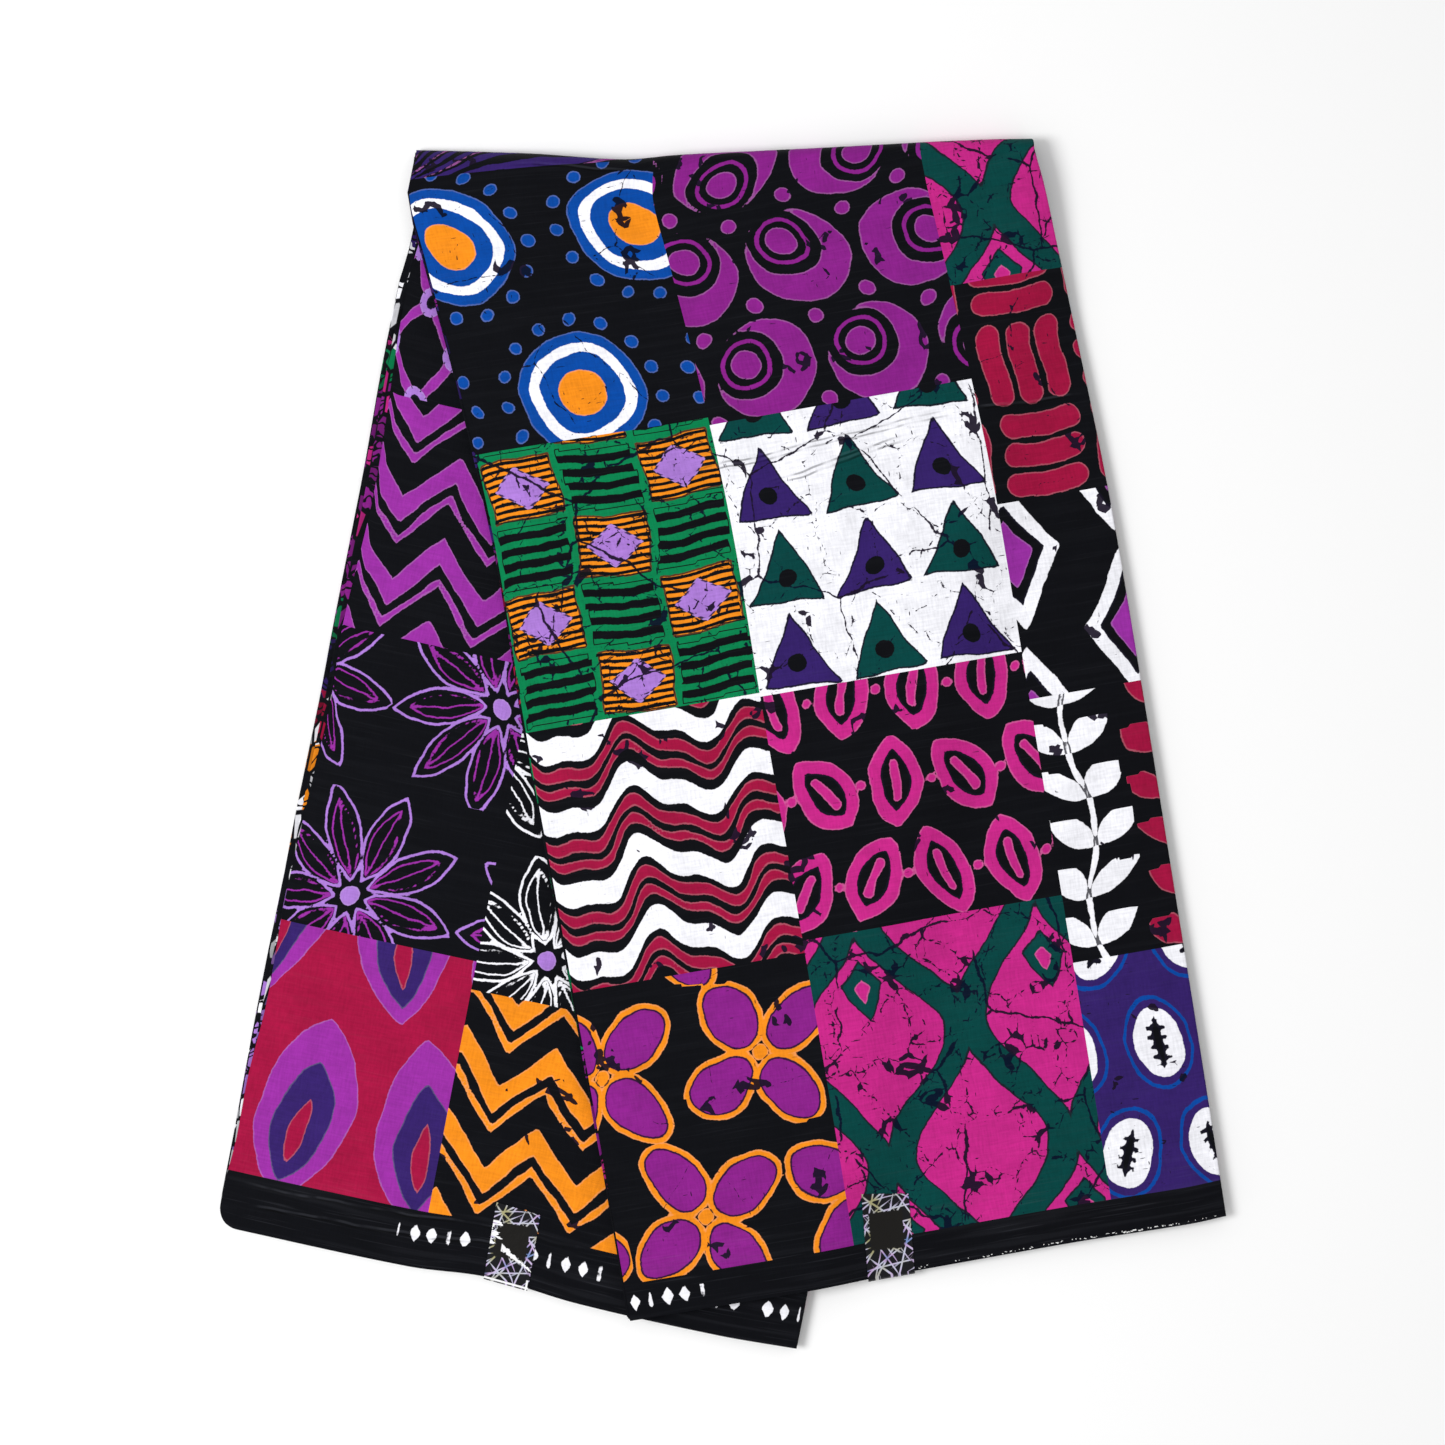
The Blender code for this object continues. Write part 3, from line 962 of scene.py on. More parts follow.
# Half the line's thickness, in mm, for each ink whose field is the distance from a line
NO_LINES = (0.0, 0.0, 0.0)
LINE_HALVES = {
    line_daisies: (0.62, 0.4, 0.0),
    strip_blocks: (0.0, 2.0, 0.0),
    crescents: (0.0, 0.0, 1.0),
    cowries: (0.0, 0.0, 0.8),
}

# The patchwork: columns of patches, each column's list repeated upwards from the selvage
Patch = namedtuple("Patch", "height motif ground inks cracks")
FRONT_SELVAGE = Patch(18, front_selvage, "black", ("white", "white", "white"), 0.0)
BACK_SELVAGE = Patch(28, back_selvage, "black", ("white", "white", "white"), 0.0)
Column = namedtuple("Column", "width patches")
FRONT_COLUMNS = (
    Column(118, (
        Patch(146, petal_flowers, "black", ("orange", "purple", "orange"), 0.7),
        Patch(130, waves, "black", ("white", "crimson", "crimson"), 0.4),
        Patch(140, strip_blocks, "green", ("orange", "black", "lilac"), 1.0),
        Patch(143, pearl_discs, "black", ("blue", "white", "orange"), 0.8),
        # Partly painted shade: this patch lies on the pressed shoulder at the fold's left end,
        # where its deep violet ground and dark stripes give both the print there and the shade on
        # that slope
        Patch(60, fanned_stripes, "deep_violet", ("black", "purple", "black"), 0.5),
    )),
    Column(131, (
        Patch(152, ogee_lattice, "magenta", ("teal", "teal", "magenta"), 1.0),
        Patch(122, pods, "black", ("magenta", "black", "magenta"), 0.5),
        Patch(138, triangles, "white", ("deep_violet", "teal", "black"), 0.9),
        Patch(170, crescents, "black", ("purple", "purple", "purple"), 0.5),
    )),
    Column(56, (
        Patch(118, cowries, "deep_violet", ("white", "black", "blue"), 0.6),
        Patch(132, leaf_sprays, "black", ("white", "crimson", "white"), 0.2),
        Patch(98, lozenges, "black", ("white", "black", "violet"), 0.7),
        Patch(112, basket, "black", ("crimson", "crimson", "crimson"), 0.8),
        Patch(150, ogee_lattice, "magenta", ("teal", "teal", "magenta"), 1.0),
    )),
)
BACK_COLUMNS = (
    Column(106, (
        Patch(126, broad_petals, "crimson", ("violet", "deep_violet", "crimson"), 0.0),
        Patch(148, line_daisies, "black", ("lilac", "violet", "lilac"), 0.0),
        Patch(118, zigzags, "black", ("violet", "violet", "violet"), 0.0),
        Patch(104, nets, "black", ("violet", "lilac", "black"), 0.1),
        Patch(120, pearl_discs, "black", ("orange", "black", "white"), 0.8),
    )),
    Column(124, (
        Patch(112, zigzags, "black", ("orange", "orange", "orange"), 0.1),
        Patch(140, line_daisies, "black", ("white", "white", "lilac"), 0.0),
        Patch(118, guinea_spots, "black", ("violet", "lilac", "black"), 0.0),
        Patch(126, waves, "black", ("violet", "blue", "blue"), 0.0),
        Patch(120, pods, "black", ("crimson", "black", "crimson"), 0.3),
    )),
    Column(75, (
        Patch(122, nets, "black", ("blue", "white", "black"), 0.2),
        Patch(134, petal_flowers, "black", ("orange", "purple", "orange"), 0.6),
        Patch(120, mud_marks, "black", ("white", "violet", "white"), 0.2),
        Patch(130, lozenges, "black", ("violet", "black", "orange"), 0.4),
        Patch(110, cowries, "deep_violet", ("white", "black", "blue"), 0.5),
    )),
)
Area = namedtuple("Area", "a_low a_high b_low b_high patch")

# The stretches that carry the print. Each starts at the hem of its first leaf, and its second
# piece starts at the split, in mm. Its face is at a depth from the inside of the fold, and side
# is 1 where it faces out and -1 where it faces in. Air lifts its top layer from start to start
# plus rise, in fold lengths from the fold's middle, fading out by the hem. The insets keep it
# inside the leaves' outlines
Stretch = namedtuple(
    "Stretch", "node slot shown hidden finish first second split depth side start rise air"
    " hem_fade on_front on_back creases columns selvage")
OUTER = Stretch(
    node="outer_stretch", slot="print_face", shown="front_cloth", hidden="under_cloth",
    finish="wax_printed_cotton_outside", first=FRONT, second=BACK, split=620.0,
    depth=LEAF_THICKNESS, side=1, start=-0.5, rise=1.0, air=1.0, hem_fade=30.0,
    on_front=Inset(1.4, LIP_RADIUS, 0.0), on_back=Inset(OUTER_PEEK, 0.5 + LIP_RADIUS, 0.8),
    creases=FRONT_CREASES, columns=FRONT_COLUMNS, selvage=FRONT_SELVAGE)
INNER = Stretch(
    node="inner_stretch", slot="print_back", shown="back_cloth", hidden="inner_under",
    finish="wax_printed_cotton_inside", first=BACK, second=FRONT, split=520.0,
    depth=0.0, side=-1, start=0.0, rise=4.0, air=0.55, hem_fade=34.0,
    on_front=Inset(2.2, 0.8 + LIP_RADIUS, 0.6), on_back=Inset(INNER_PEEK, 0.4 + LIP_RADIUS, 0.0),
    creases=BACK_CREASES, columns=BACK_COLUMNS, selvage=BACK_SELVAGE)


def patchwork(stretch):
    """Areas of a stretch of cloth, with a selvage at each end, and the patch that each holds."""
    width, low_end = STRIP + LIP, float(stretch.selvage.height)
    high_end = STRETCH_LENGTH - low_end
    areas = [Area(0.0, width, 0.0, low_end, stretch.selvage)]
    start = 0.0
    for column in stretch.columns:
        stop = width if column is stretch.columns[-1] else start + column.width
        low, patches = low_end, cycle(column.patches)
        while low < high_end:
            patch = next(patches)
            areas.append(Area(start, stop, low, min(low + patch.height, high_end), patch))
            low += patch.height
        start = stop
    return [*areas, Area(0.0, width, high_end, STRETCH_LENGTH, stretch.selvage)]


def mesh_lines(stops, low, high, step):
    """Places of mesh lines from low to high, with one on every stop between them."""
    between_ends = (stop for stop in stops if low + STOP_CLEAR < stop < high - STOP_CLEAR)
    stops = sorted({low, high, *between_ends})
    lines = [np.array([low])]
    for start, end in zip(stops, stops[1:]):
        count = max(1, math.ceil((end - start) / step - STEP_SLACK))
        lines.append(np.linspace(start, end, count + 1)[1:])
    return np.concatenate(lines)


def at_corners(field):
    """Values at a grid's points, as the four corners of each of its faces."""
    return np.stack([field[:-1, :-1], field[:-1, 1:], field[1:, 1:], field[1:, :-1]], axis=-1)


def quads(index):
    """Faces of a grid, from the numbers of its points."""
    return at_corners(index).reshape(-1, 4)


def smooth_mesh(name, points, faces):
    """A smooth-shaded mesh."""
    mesh = bpy.data.meshes.new(name)
    mesh.from_pydata(np.reshape(points, (-1, 3)).tolist(), [], faces)
    mesh.shade_smooth()
    return mesh


def hand_cut(x, y, phase):
    """Coordinates that wander a little, as a block cutter's lines do."""
    return (
        x + 1.3 * np.sin(y / 13 + phase) + 0.5 * np.sin(y / 4.7 + 2 * phase),
        y + 1.3 * np.sin(x / 15 + phase * 3) + 0.5 * np.sin(x / 5.3 + phase),
    )


def draw_print(areas, a_lines, b_lines):
    """The print at the corners of every face: three fields, half the thickness of those that
    are lines, their colours and the cracks."""
    colours = bpy.context.scene.ankara_inks
    shape = (len(b_lines) - 1, len(a_lines) - 1, 4)
    fields = np.full((3, *shape), BLANK)
    halves = np.zeros((*shape, 4))
    cracks = np.zeros(shape)
    paints = np.ones((4, *shape, 4))
    for number, area in enumerate(areas):
        low, high = np.searchsorted(b_lines, (area.b_low - ON_LINE, area.b_high - ON_LINE))
        left, right = np.searchsorted(a_lines, (area.a_low - ON_LINE, area.a_high - ON_LINE))
        high, right = min(high, shape[0]), min(right, shape[1])
        if low >= high or left >= right:
            continue
        x, y = np.meshgrid(
            a_lines[left:right + 1] - area.a_low, b_lines[low:high + 1] - area.b_low)
        if area.patch.motif not in (front_selvage, back_selvage):
            x, y = hand_cut(x, y, float(number))
        here = (slice(low, high), slice(left, right))
        for n, field in enumerate(area.patch.motif(x, y)):
            fields[n][here] = at_corners(np.broadcast_to(field, x.shape))
        halves[here][..., :3] = LINE_HALVES.get(area.patch.motif, NO_LINES)
        cracks[here] = area.patch.cracks
        for n, name in enumerate((area.patch.ground, *area.patch.inks)):
            paints[n][here][..., :3] = getattr(colours, name)
    return fields, halves, paints, cracks


def spaced(count, every):
    """Every so many of a count of lines, and the last one."""
    picks = list(range(0, count - 1, every))
    return np.array([*picks, count - 1])


def shell_mesh(name, face, back, row_picks, column_picks):
    """Closed shell of cloth: a fine face, and a back that keeps only the picked lines."""
    rows, columns = face.shape[:2]
    front = np.arange(rows * columns).reshape(rows, columns)
    count = len(row_picks) * len(column_picks)
    inside = rows * columns + np.arange(count).reshape(len(row_picks), len(column_picks))

    def rim(back_line, face_line, picks, reverse):
        made = []
        for k in range(len(picks) - 1):
            face_run = face_line[picks[k]:picks[k + 1] + 1][::-1]
            ring_of = [*back_line[k:k + 2], *face_run]
            made.append(ring_of[::-1] if reverse else ring_of)
        return made

    faces = quads(front).tolist()
    faces += quads(inside)[:, ::-1].tolist()
    faces += rim(inside[0], front[0], column_picks, False)
    faces += rim(inside[-1], front[-1], column_picks, True)
    faces += rim(inside[:, 0], front[:, 0], row_picks, True)
    faces += rim(inside[:, -1], front[:, -1], row_picks, False)
    points = np.concatenate([face.reshape(-1, 3), back.reshape(-1, 3)])
    mesh = smooth_mesh(name, points, [[int(v) for v in corners] for corners in faces])
    mesh.set_sharp_from_angle(angle=SHEET_SHARP)
    return mesh


def lay_cloth_map(mesh, places):
    """UV map of the flat cloth, in metres, from each point's a and b in mm."""
    corners = np.zeros(len(mesh.loops), dtype=np.int32)
    mesh.loops.foreach_get("vertex_index", corners)
    layer = mesh.uv_layers.new(name="cloth")
    layer.data.foreach_set("uv", (places[corners] * MM).astype(np.float32).ravel())


def add_corner_values(mesh, name, kind, values, rest):
    """A named attribute at face corners: values for the first ones, rest for the others."""
    attribute = mesh.attributes.new(name, kind, "CORNER")
    wide = 4 if kind == "FLOAT_COLOR" else 1
    filled = np.tile(np.array(rest, dtype=np.float32), (len(mesh.loops), 1))
    filled[:values.size // wide] = values.reshape(-1, wide)
    attribute.data.foreach_set("color" if wide == 4 else "value", filled.ravel())


def link_piece(name, mesh, material):
    """Put a mesh in the scene as a piece."""
    mesh.materials.append(material)
    piece = bpy.data.objects.new(name, mesh)
    bpy.context.scene.collection.objects.link(piece)
    return piece


def printed_sheet(name, stretch, low, high, step, every, material):
    """A printed piece of a stretch, from b low to high."""
    areas = patchwork(stretch)
    a_stops = [STRIP, *(stop for area in areas for stop in (area.a_low, area.a_high))]
    b_stops = [stop for area in areas for stop in (area.b_low, area.b_high)]
    a_lines = np.concatenate([mesh_lines(a_stops, 0.0, STRIP, step), STRIP + LIP * LIP_SHARES])
    b_lines = mesh_lines(b_stops, low, high, step)
    a, b = np.meshgrid(a_lines, b_lines)
    row_picks, column_picks = spaced(len(b_lines), every), spaced(len(a_lines), every)
    picked = np.ix_(row_picks, column_picks)
    mesh = shell_mesh(
        name, stretch_points(stretch, a, b, 0), stretch_points(stretch, a[picked], b[picked], 1),
        row_picks, column_picks)
    lay_cloth_map(mesh, np.concatenate([
        np.stack([a.ravel(), b.ravel()], axis=-1),
        np.stack([a[picked].ravel(), b[picked].ravel()], axis=-1)]))
    fields, halves, paints, cracks = draw_print(areas, a_lines, b_lines)
    black = (*bpy.context.scene.ankara_inks.black, 1.0)
    for n, field in enumerate(fields):
        add_corner_values(mesh, f"ink_{n + 1}", "FLOAT", field, BLANK)
    for layer, paint in zip(("ground", "tint_1", "tint_2", "tint_3"), paints):
        add_corner_values(mesh, layer, "FLOAT_COLOR", paint, black)
    add_corner_values(mesh, "line_halves", "FLOAT_COLOR", halves, (0.0, 0.0, 0.0, 0.0))
    add_corner_values(mesh, "cracks", "FLOAT", cracks, 0.0)
    return link_piece(name, mesh, material)


def stretch_run(stretch, a, b):
    """Distance from the fold's middle of a place on a stretch, positive on the front leaf."""
    across = np.clip(a / STRIP, 0, 1)
    first = leaf_length(stretch.first, across) + FOLD_ARC / 2
    total = first + leaf_length(stretch.second, across) + FOLD_ARC / 2
    b, split = b * MM, stretch.split * MM
    beyond = (b - split) * (total - split) / (STRETCH_LENGTH * MM - split)
    return stretch.side * (first - np.minimum(b, split) - np.maximum(beyond, 0))


def stand_off(stretch, a, b, level):
    """How far a top layer stands off the ones below. Its back, level 1, has too coarse a mesh
    for the creases, and stays clear of them."""
    air = bpy.context.scene.ankara_cloth.air * stretch.air
    spread = air_heights(a, b, stretch.hem_fade) * air
    if level:
        return spread * BACK_SHARE
    return np.maximum(spread + crease_heights(stretch.creases, a, b) * MM, -DEEPEST_TROUGH)


def stretch_points(stretch, a, b, level):
    """Points of a stretch: level 0 is its face and 1 its back."""
    run = stretch_run(stretch, a, b)
    on_top = ease((stretch.side * run / FOLD_ARC - stretch.start) / stretch.rise)
    lift = stand_off(stretch, a, b, level) * on_top
    depth = stretch.depth + stretch.side * (
        lift - level * bpy.context.scene.ankara_cloth.thickness)
    down = (-run - FOLD_ARC / 2) / leaf_length(BACK, np.clip(a / STRIP, 0, 1))
    left = read_table(stretch.on_back.left, "left", np.clip(down, 0, 1))
    on_back = stretch.on_back._replace(left=left)
    return sheet_points(run, a, depth, on_back, stretch.on_front, -stretch.side)


# The kinds of node that the materials are made of: Blender's type, its settings, the inputs that
# take the values in turn, and the output to go on from, where None is all of them. The scale of a
# noise is its features per mm, but per metre for fluff
NodeKind = namedtuple("NodeKind", "type settings inputs output", defaults=(0,))
NOISE_INPUTS = ("Vector", "Scale", "Detail", "Roughness")
RANGE_INPUTS = ("Value", "From Min", "From Max", "To Min", "To Max")
NODE_KINDS = {
    "place": NodeKind("ShaderNodeTexCoord", {}, (), "Object"),
    "map": NodeKind("ShaderNodeUVMap", {}, ()),
    "corner value": NodeKind("ShaderNodeAttribute", {}, (), "Fac"),
    "corner colour": NodeKind("ShaderNodeAttribute", {}, (), "Color"),
    "fluff": NodeKind("ShaderNodeTexNoise", {}, NOISE_INPUTS, "Fac"),
    "noise": NodeKind("ShaderNodeTexNoise", {"noise_dimensions": "2D"}, NOISE_INPUTS, "Fac"),
    "warp": NodeKind("ShaderNodeTexNoise", {"noise_dimensions": "2D"}, NOISE_INPUTS, "Color"),
    "cells": NodeKind("ShaderNodeTexVoronoi", {"voronoi_dimensions": "2D"},
                      ("Vector", "Scale", "Randomness"), "Color"),
    "cell borders": NodeKind("ShaderNodeTexVoronoi", {
        "voronoi_dimensions": "2D", "feature": "DISTANCE_TO_EDGE"},
        ("Vector", "Scale", "Randomness"), "Distance"),
    "stripe borders": NodeKind("ShaderNodeTexVoronoi", {
        "voronoi_dimensions": "1D", "feature": "DISTANCE_TO_EDGE"},
        ("W", "Scale", "Randomness"), "Distance"),
    "axes": NodeKind("ShaderNodeSeparateXYZ", {}, (0,), None),
    "channels": NodeKind("ShaderNodeSeparateColor", {}, (0,), None),
    "lightness": NodeKind("ShaderNodeRGBToBW", {}, (0,)),
    "scale": NodeKind("ShaderNodeVectorMath", {"operation": "MULTIPLY"}, (0, 1)),
    "scale and shift": NodeKind("ShaderNodeVectorMath", {"operation": "MULTIPLY_ADD"}, (0, 1, 2)),
    "turn": NodeKind("ShaderNodeMapping", {}, ("Vector", "Location", "Rotation")),
    "range": NodeKind("ShaderNodeMapRange", {"interpolation_type": "LINEAR"}, RANGE_INPUTS),
    "step": NodeKind("ShaderNodeMapRange", {"interpolation_type": "SMOOTHSTEP"}, RANGE_INPUTS),
    "choice": NodeKind("ShaderNodeMix", {"data_type": "FLOAT"}, (0, 2, 3)),
    "mix": NodeKind("ShaderNodeMix", {"data_type": "RGBA"}, (0, 6, 7), 2),
    "ramp": NodeKind("ShaderNodeValToRGB", {}, (0,)),
    "bump": NodeKind("ShaderNodeBump", {}, ("Strength", "Distance", "Height", "Normal")),
}
for operation in ("add", "subtract", "multiply", "divide", "maximum", "minimum", "absolute",
                  "greater_than"):
    NODE_KINDS[operation] = NodeKind("ShaderNodeMath", {"operation": operation.upper()}, (0, 1))


def set_inputs(node, values):
    """Set or link a node's inputs. A colour is given without its alpha."""
    for name, value in values.items():
        socket = node.inputs[name]
        if isinstance(value, bpy.types.NodeSocket):
            node.id_data.links.new(value, socket)
        else:
            socket.default_value = (*value, 1.0) if socket.type == "RGBA" else value


def add_node(tree, kind, *values, **settings):
    """Add a node of a kind above, with its settings and links, and give its output."""
    kind = NODE_KINDS[kind]
    node = tree.nodes.new(kind.type)
    for name, value in {**kind.settings, **settings}.items():
        setattr(node, name, value)
    set_inputs(node, dict(zip(kind.inputs, values)))
    return node.outputs if kind.output is None else node.outputs[kind.output]


def new_material(name, roughness, specular):
    """A material, the function that adds a node to it, and its Principled shader."""
    material = bpy.data.materials.new(name)
    material.use_nodes = True
    shader = material.node_tree.nodes["Principled BSDF"]
    set_inputs(shader, {"Roughness": roughness, "Specular IOR Level": specular})
    return material, partial(add_node, material.node_tree), shader


def add_largest(node, values):
    """The largest of several values."""
    return reduce(partial(node, "maximum"), values)


def add_away(node, value, middle):
    """How far a value is from the middle."""
    return node("absolute", node("subtract", value, middle))


def fill_ramp(ramp, stops, interpolation="LINEAR"):
    """Give a ramp node its colours, each with its place."""
    elements = ramp.node.color_ramp.elements
    ramp.node.color_ramp.interpolation = interpolation
    elements.remove(elements[1])
    for n, (place, colour) in enumerate(stops):
        stop = elements.new(place) if n else elements[0]
        stop.position = place
        stop.color = (*colour, 1.0)
    return ramp


def add_weave(node, cloth_mm):
    """Plain weave: how light each thread is. The real threads are 0.35 mm apart, too fine to
    show, so these are drawn about 1 mm apart."""
    along = node("noise", node("scale", cloth_mm, (0.95, 0.16, 1.0)), 1.0)
    across = node("noise", node("scale", cloth_mm, (0.10, 1.05, 1.0)), 1.0)
    return node("add", along, across)


def add_slub_sheen(node, cloth_mm):
    """Thick weft threads and faint bands, which show most beside the hem. They are given as a
    painted sheen: how far they are lightened towards a pale grey.
    """
    slubs = node("noise", node("scale", cloth_mm, (0.022, 0.9, 1.0)), 1.0)
    bands = node("noise", node("scale", cloth_mm, (0.012, 0.26, 1.0)), 1.0)
    streaks = node("add", node("step", slubs, 0.6, 0.8, 0.0, 0.022),
                   node("step", bands, 0.45, 0.75, 0.0, 0.010))
    up = node("axes", cloth_mm)[1]
    return node("multiply", streaks, node("step", up, 22.0, 40.0, 1.0, 0.3))


def add_crease_shade_and_highlight(node, cloth_mm, crease):
    """How deep the painted shade along a pressed crease's fine line is, and how bright the painted
    highlight on the paler line beside it is.
    """
    line = crease.a_2 - crease.a_1 + 1j * (crease.b_2 - crease.b_1)
    half = abs(line) / 2
    placed = node("turn", cloth_mm, (crease.a_1, crease.b_1, 0.0),
                  (0.0, 0.0, float(np.angle(line))), vector_type="TEXTURE")
    along, off = node("axes", placed)[:2]
    wander = node("range", node("noise", cloth_mm, 0.03), 0, 1, -2.2, 2.2)
    beside = node("add", off, wander)
    to_end = node("subtract", half, add_away(node, along, half))
    # worn is how much of the painted shade and highlight shows along the crease, fading out at its
    # ends
    worn = node("step", node("noise", cloth_mm, 0.09, 1.0), 0.32, 0.6, 0.2, 1.0)
    worn = node("multiply", worn, node("step", to_end, 0.0, 18.0))
    dark = node("step", node("absolute", beside), 0.2, 0.75, 1.0, 0.0)
    pale = node("step", add_away(node, beside, 1.2), 0.2, 0.9, 1.0, 0.0)
    return node("multiply", dark, worn), node("multiply", pale, worn)


def finish_cotton(node, shader, cloth_mm, colour, creases=()):
    """Give a colour the cotton's threads, slubs with their painted sheen, mottling and wrinkles,
    and along each pressed crease a painted shade with a painted highlight beside it.
    """
    threads = add_weave(node, cloth_mm)
    mottle = node("range", node("noise", cloth_mm, 0.055, 3.0), 0.3, 0.7, *MOTTLE_LIGHTS)
    light = node("multiply", node("range", threads, 0.6, 1.4, *THREAD_LIGHTS), mottle)
    # Painted highlights: the slubs' painted sheen, and the painted highlight beside each pressed
    # crease
    painted_highlights = add_slub_sheen(node, cloth_mm)
    for crease in creases:
        if crease.width <= PRESSED_WIDTH:
            dark, pale = add_crease_shade_and_highlight(node, cloth_mm, crease)
            light = node("multiply", light, node("range", dark, 0, 1, 1.0, PAINTED_CREASE_SHADE))
            painted_highlights = node("add", painted_highlights, node("multiply", pale, PAINTED_CREASE_HIGHLIGHT))
    shaded = node("mix", 1.0, colour, light, blend_type="MULTIPLY")
    wrinkles = node("noise", cloth_mm, 0.035, 3.0)
    set_inputs(shader, {
        "Base Color": node("mix", painted_highlights, shaded, bpy.context.scene.ankara_inks.slub_sheen),
        "Normal": node("bump", 0.6, WRINKLE_DEPTH, wrinkles,
                       node("bump", 0.5, THREAD_DEPTH, threads)),
        "Sheen Weight": 0.03,
        "Sheen Roughness": 0.5,
    })


def add_crackle(node, cloth_mm, cracked):
    """Dark veins where the cooled wax has cracked: long, nearly straight broken lines, angular
    splashes with holes and thin branches along them, and short dashes beside them. cracked is
    0 for whole wax to 1."""
    warp = node("warp", cloth_mm, 0.04, 2.0, 0.6)
    bent = node("scale and shift", warp, (11.0, 11.0, 0.0), cloth_mm)
    jagged = node("range", node("noise", cloth_mm, 0.5), 0.3, 0.7, -0.26, 0.26)
    rough = node("subtract", jagged, node("range", cracked, 0.0, 1.0, 2.2, 0.0))
    splash = node("step", node("noise", cloth_mm, 0.045), 0.54, 0.72, -4.5, 5.6)
    web = node("multiply", node("cell borders", bent, 1 / WEB_CELL), WEB_CELL)
    solid = node("subtract", 1.9, web)
    pointed = node("multiply", node("subtract", 0.9, web), 1.5)
    veins = []
    for crack in CRACKS:
        distance = node("multiply", node("cell borders", bent, 1 / crack.cell), crack.cell)
        present = node("noise", cloth_mm, crack.lengths)
        half = node("step", present, crack.start, crack.start + 0.14, -0.6, crack.half)
        line = node("subtract", node("add", half, rough), distance)
        reach = node("subtract", node("multiply", splash, crack.fork), distance)
        reach = node("add", reach, rough)
        torn = node("minimum", node("add", reach, pointed), solid)
        taper = node("range", reach, -6.5, 0.0, -0.3, 0.62)
        spur = node("add", node("subtract", taper, web), rough)
        veins += [line, torn, spur]
    marks = [node("step", add_largest(node, veins), -0.14, 0.16)]
    near = node("step", node("noise", cloth_mm, 0.028), 0.46, 0.58)
    near = node("multiply", near, node("step", cracked, 0.3, 0.5))
    for stretched in ((0.14, 0.95, 1.0), (0.8, 0.17, 1.0)):
        dash = node("noise", node("scale", cloth_mm, stretched), 1.0, 1.0)
        marks.append(node("multiply", near, node("step", dash, 0.80, 0.82)))
    return node("multiply", add_largest(node, marks), node("step", cracked, 0.0, 0.08))


def cloth_coordinates(node):
    """The flat cloth's coordinates in mm."""
    return node("scale", node("map", uv_map="cloth"), (1000.0, 1000.0, 0.0))


def wax_printed_cotton(name, creases):
    """Plain-weave cotton, resin-dyed through wax on both sides: flat strong colours with
    hand-cut edges, crackle veins and a faint sheen. A shape has a dark rim where it overlaps a
    light colour, and a faint pale one on a dark colour."""
    colours = bpy.context.scene.ankara_inks
    material, node, shader = new_material(name, roughness=0.8, specular=0.06)
    cloth_mm = cloth_coordinates(node)
    slow = node("range", node("noise", cloth_mm, 0.1, 1.5), 0, 1, -SLOW_WANDER, SLOW_WANDER)
    quick = node("range", node("noise", cloth_mm, 0.7, 1.0), 0, 1, -QUICK_WANDER, QUICK_WANDER)
    wander = node("add", slow, quick)
    colour = node("corner colour", attribute_name="ground")
    halves = node("channels", node("corner colour", attribute_name="line_halves"))
    for n in range(3):
        overlap = node("step", node("lightness", colour), *LIGHT_GROUND)
        field = node("add", node("corner value", attribute_name=f"ink_{n + 1}"), wander)
        line = node("subtract", halves[n], node("absolute", field))
        drawn = node("greater_than", halves[n], 0.01)
        inside = node("choice", drawn, field, line)
        tint = node("corner colour", attribute_name=f"tint_{n + 1}")
        paleness = node("step", node("lightness", tint), *PALE_RIMMED, 0.0, PALE_RIM_SHARE)
        pale = node("mix", paleness, tint, colours.pale_rim)
        dark = node("mix", DARK_RIM_SHARE, tint, colours.dark_rim)
        deep = node("subtract", inside, node("multiply", overlap, OVERLAP_DEPTH))
        rim = node("step", node("add", deep, drawn), *RIM_DEPTHS, 1.0, 0.0)
        rimmed = node("mix", rim, tint, node("mix", overlap, pale, dark))
        covered = node("step", inside, -EDGE_SOFTNESS, EDGE_SOFTNESS)
        colour = node("mix", covered, colour, rimmed)
    vein = node("mix", VEIN_SHARE, colour, colours.vein, blend_type="DARKEN")
    cracked = node("corner value", attribute_name="cracks")
    colour = node("mix", add_crackle(node, cloth_mm, cracked), colour, vein)
    finish_cotton(node, shader, cloth_mm, colour, creases)
    return material


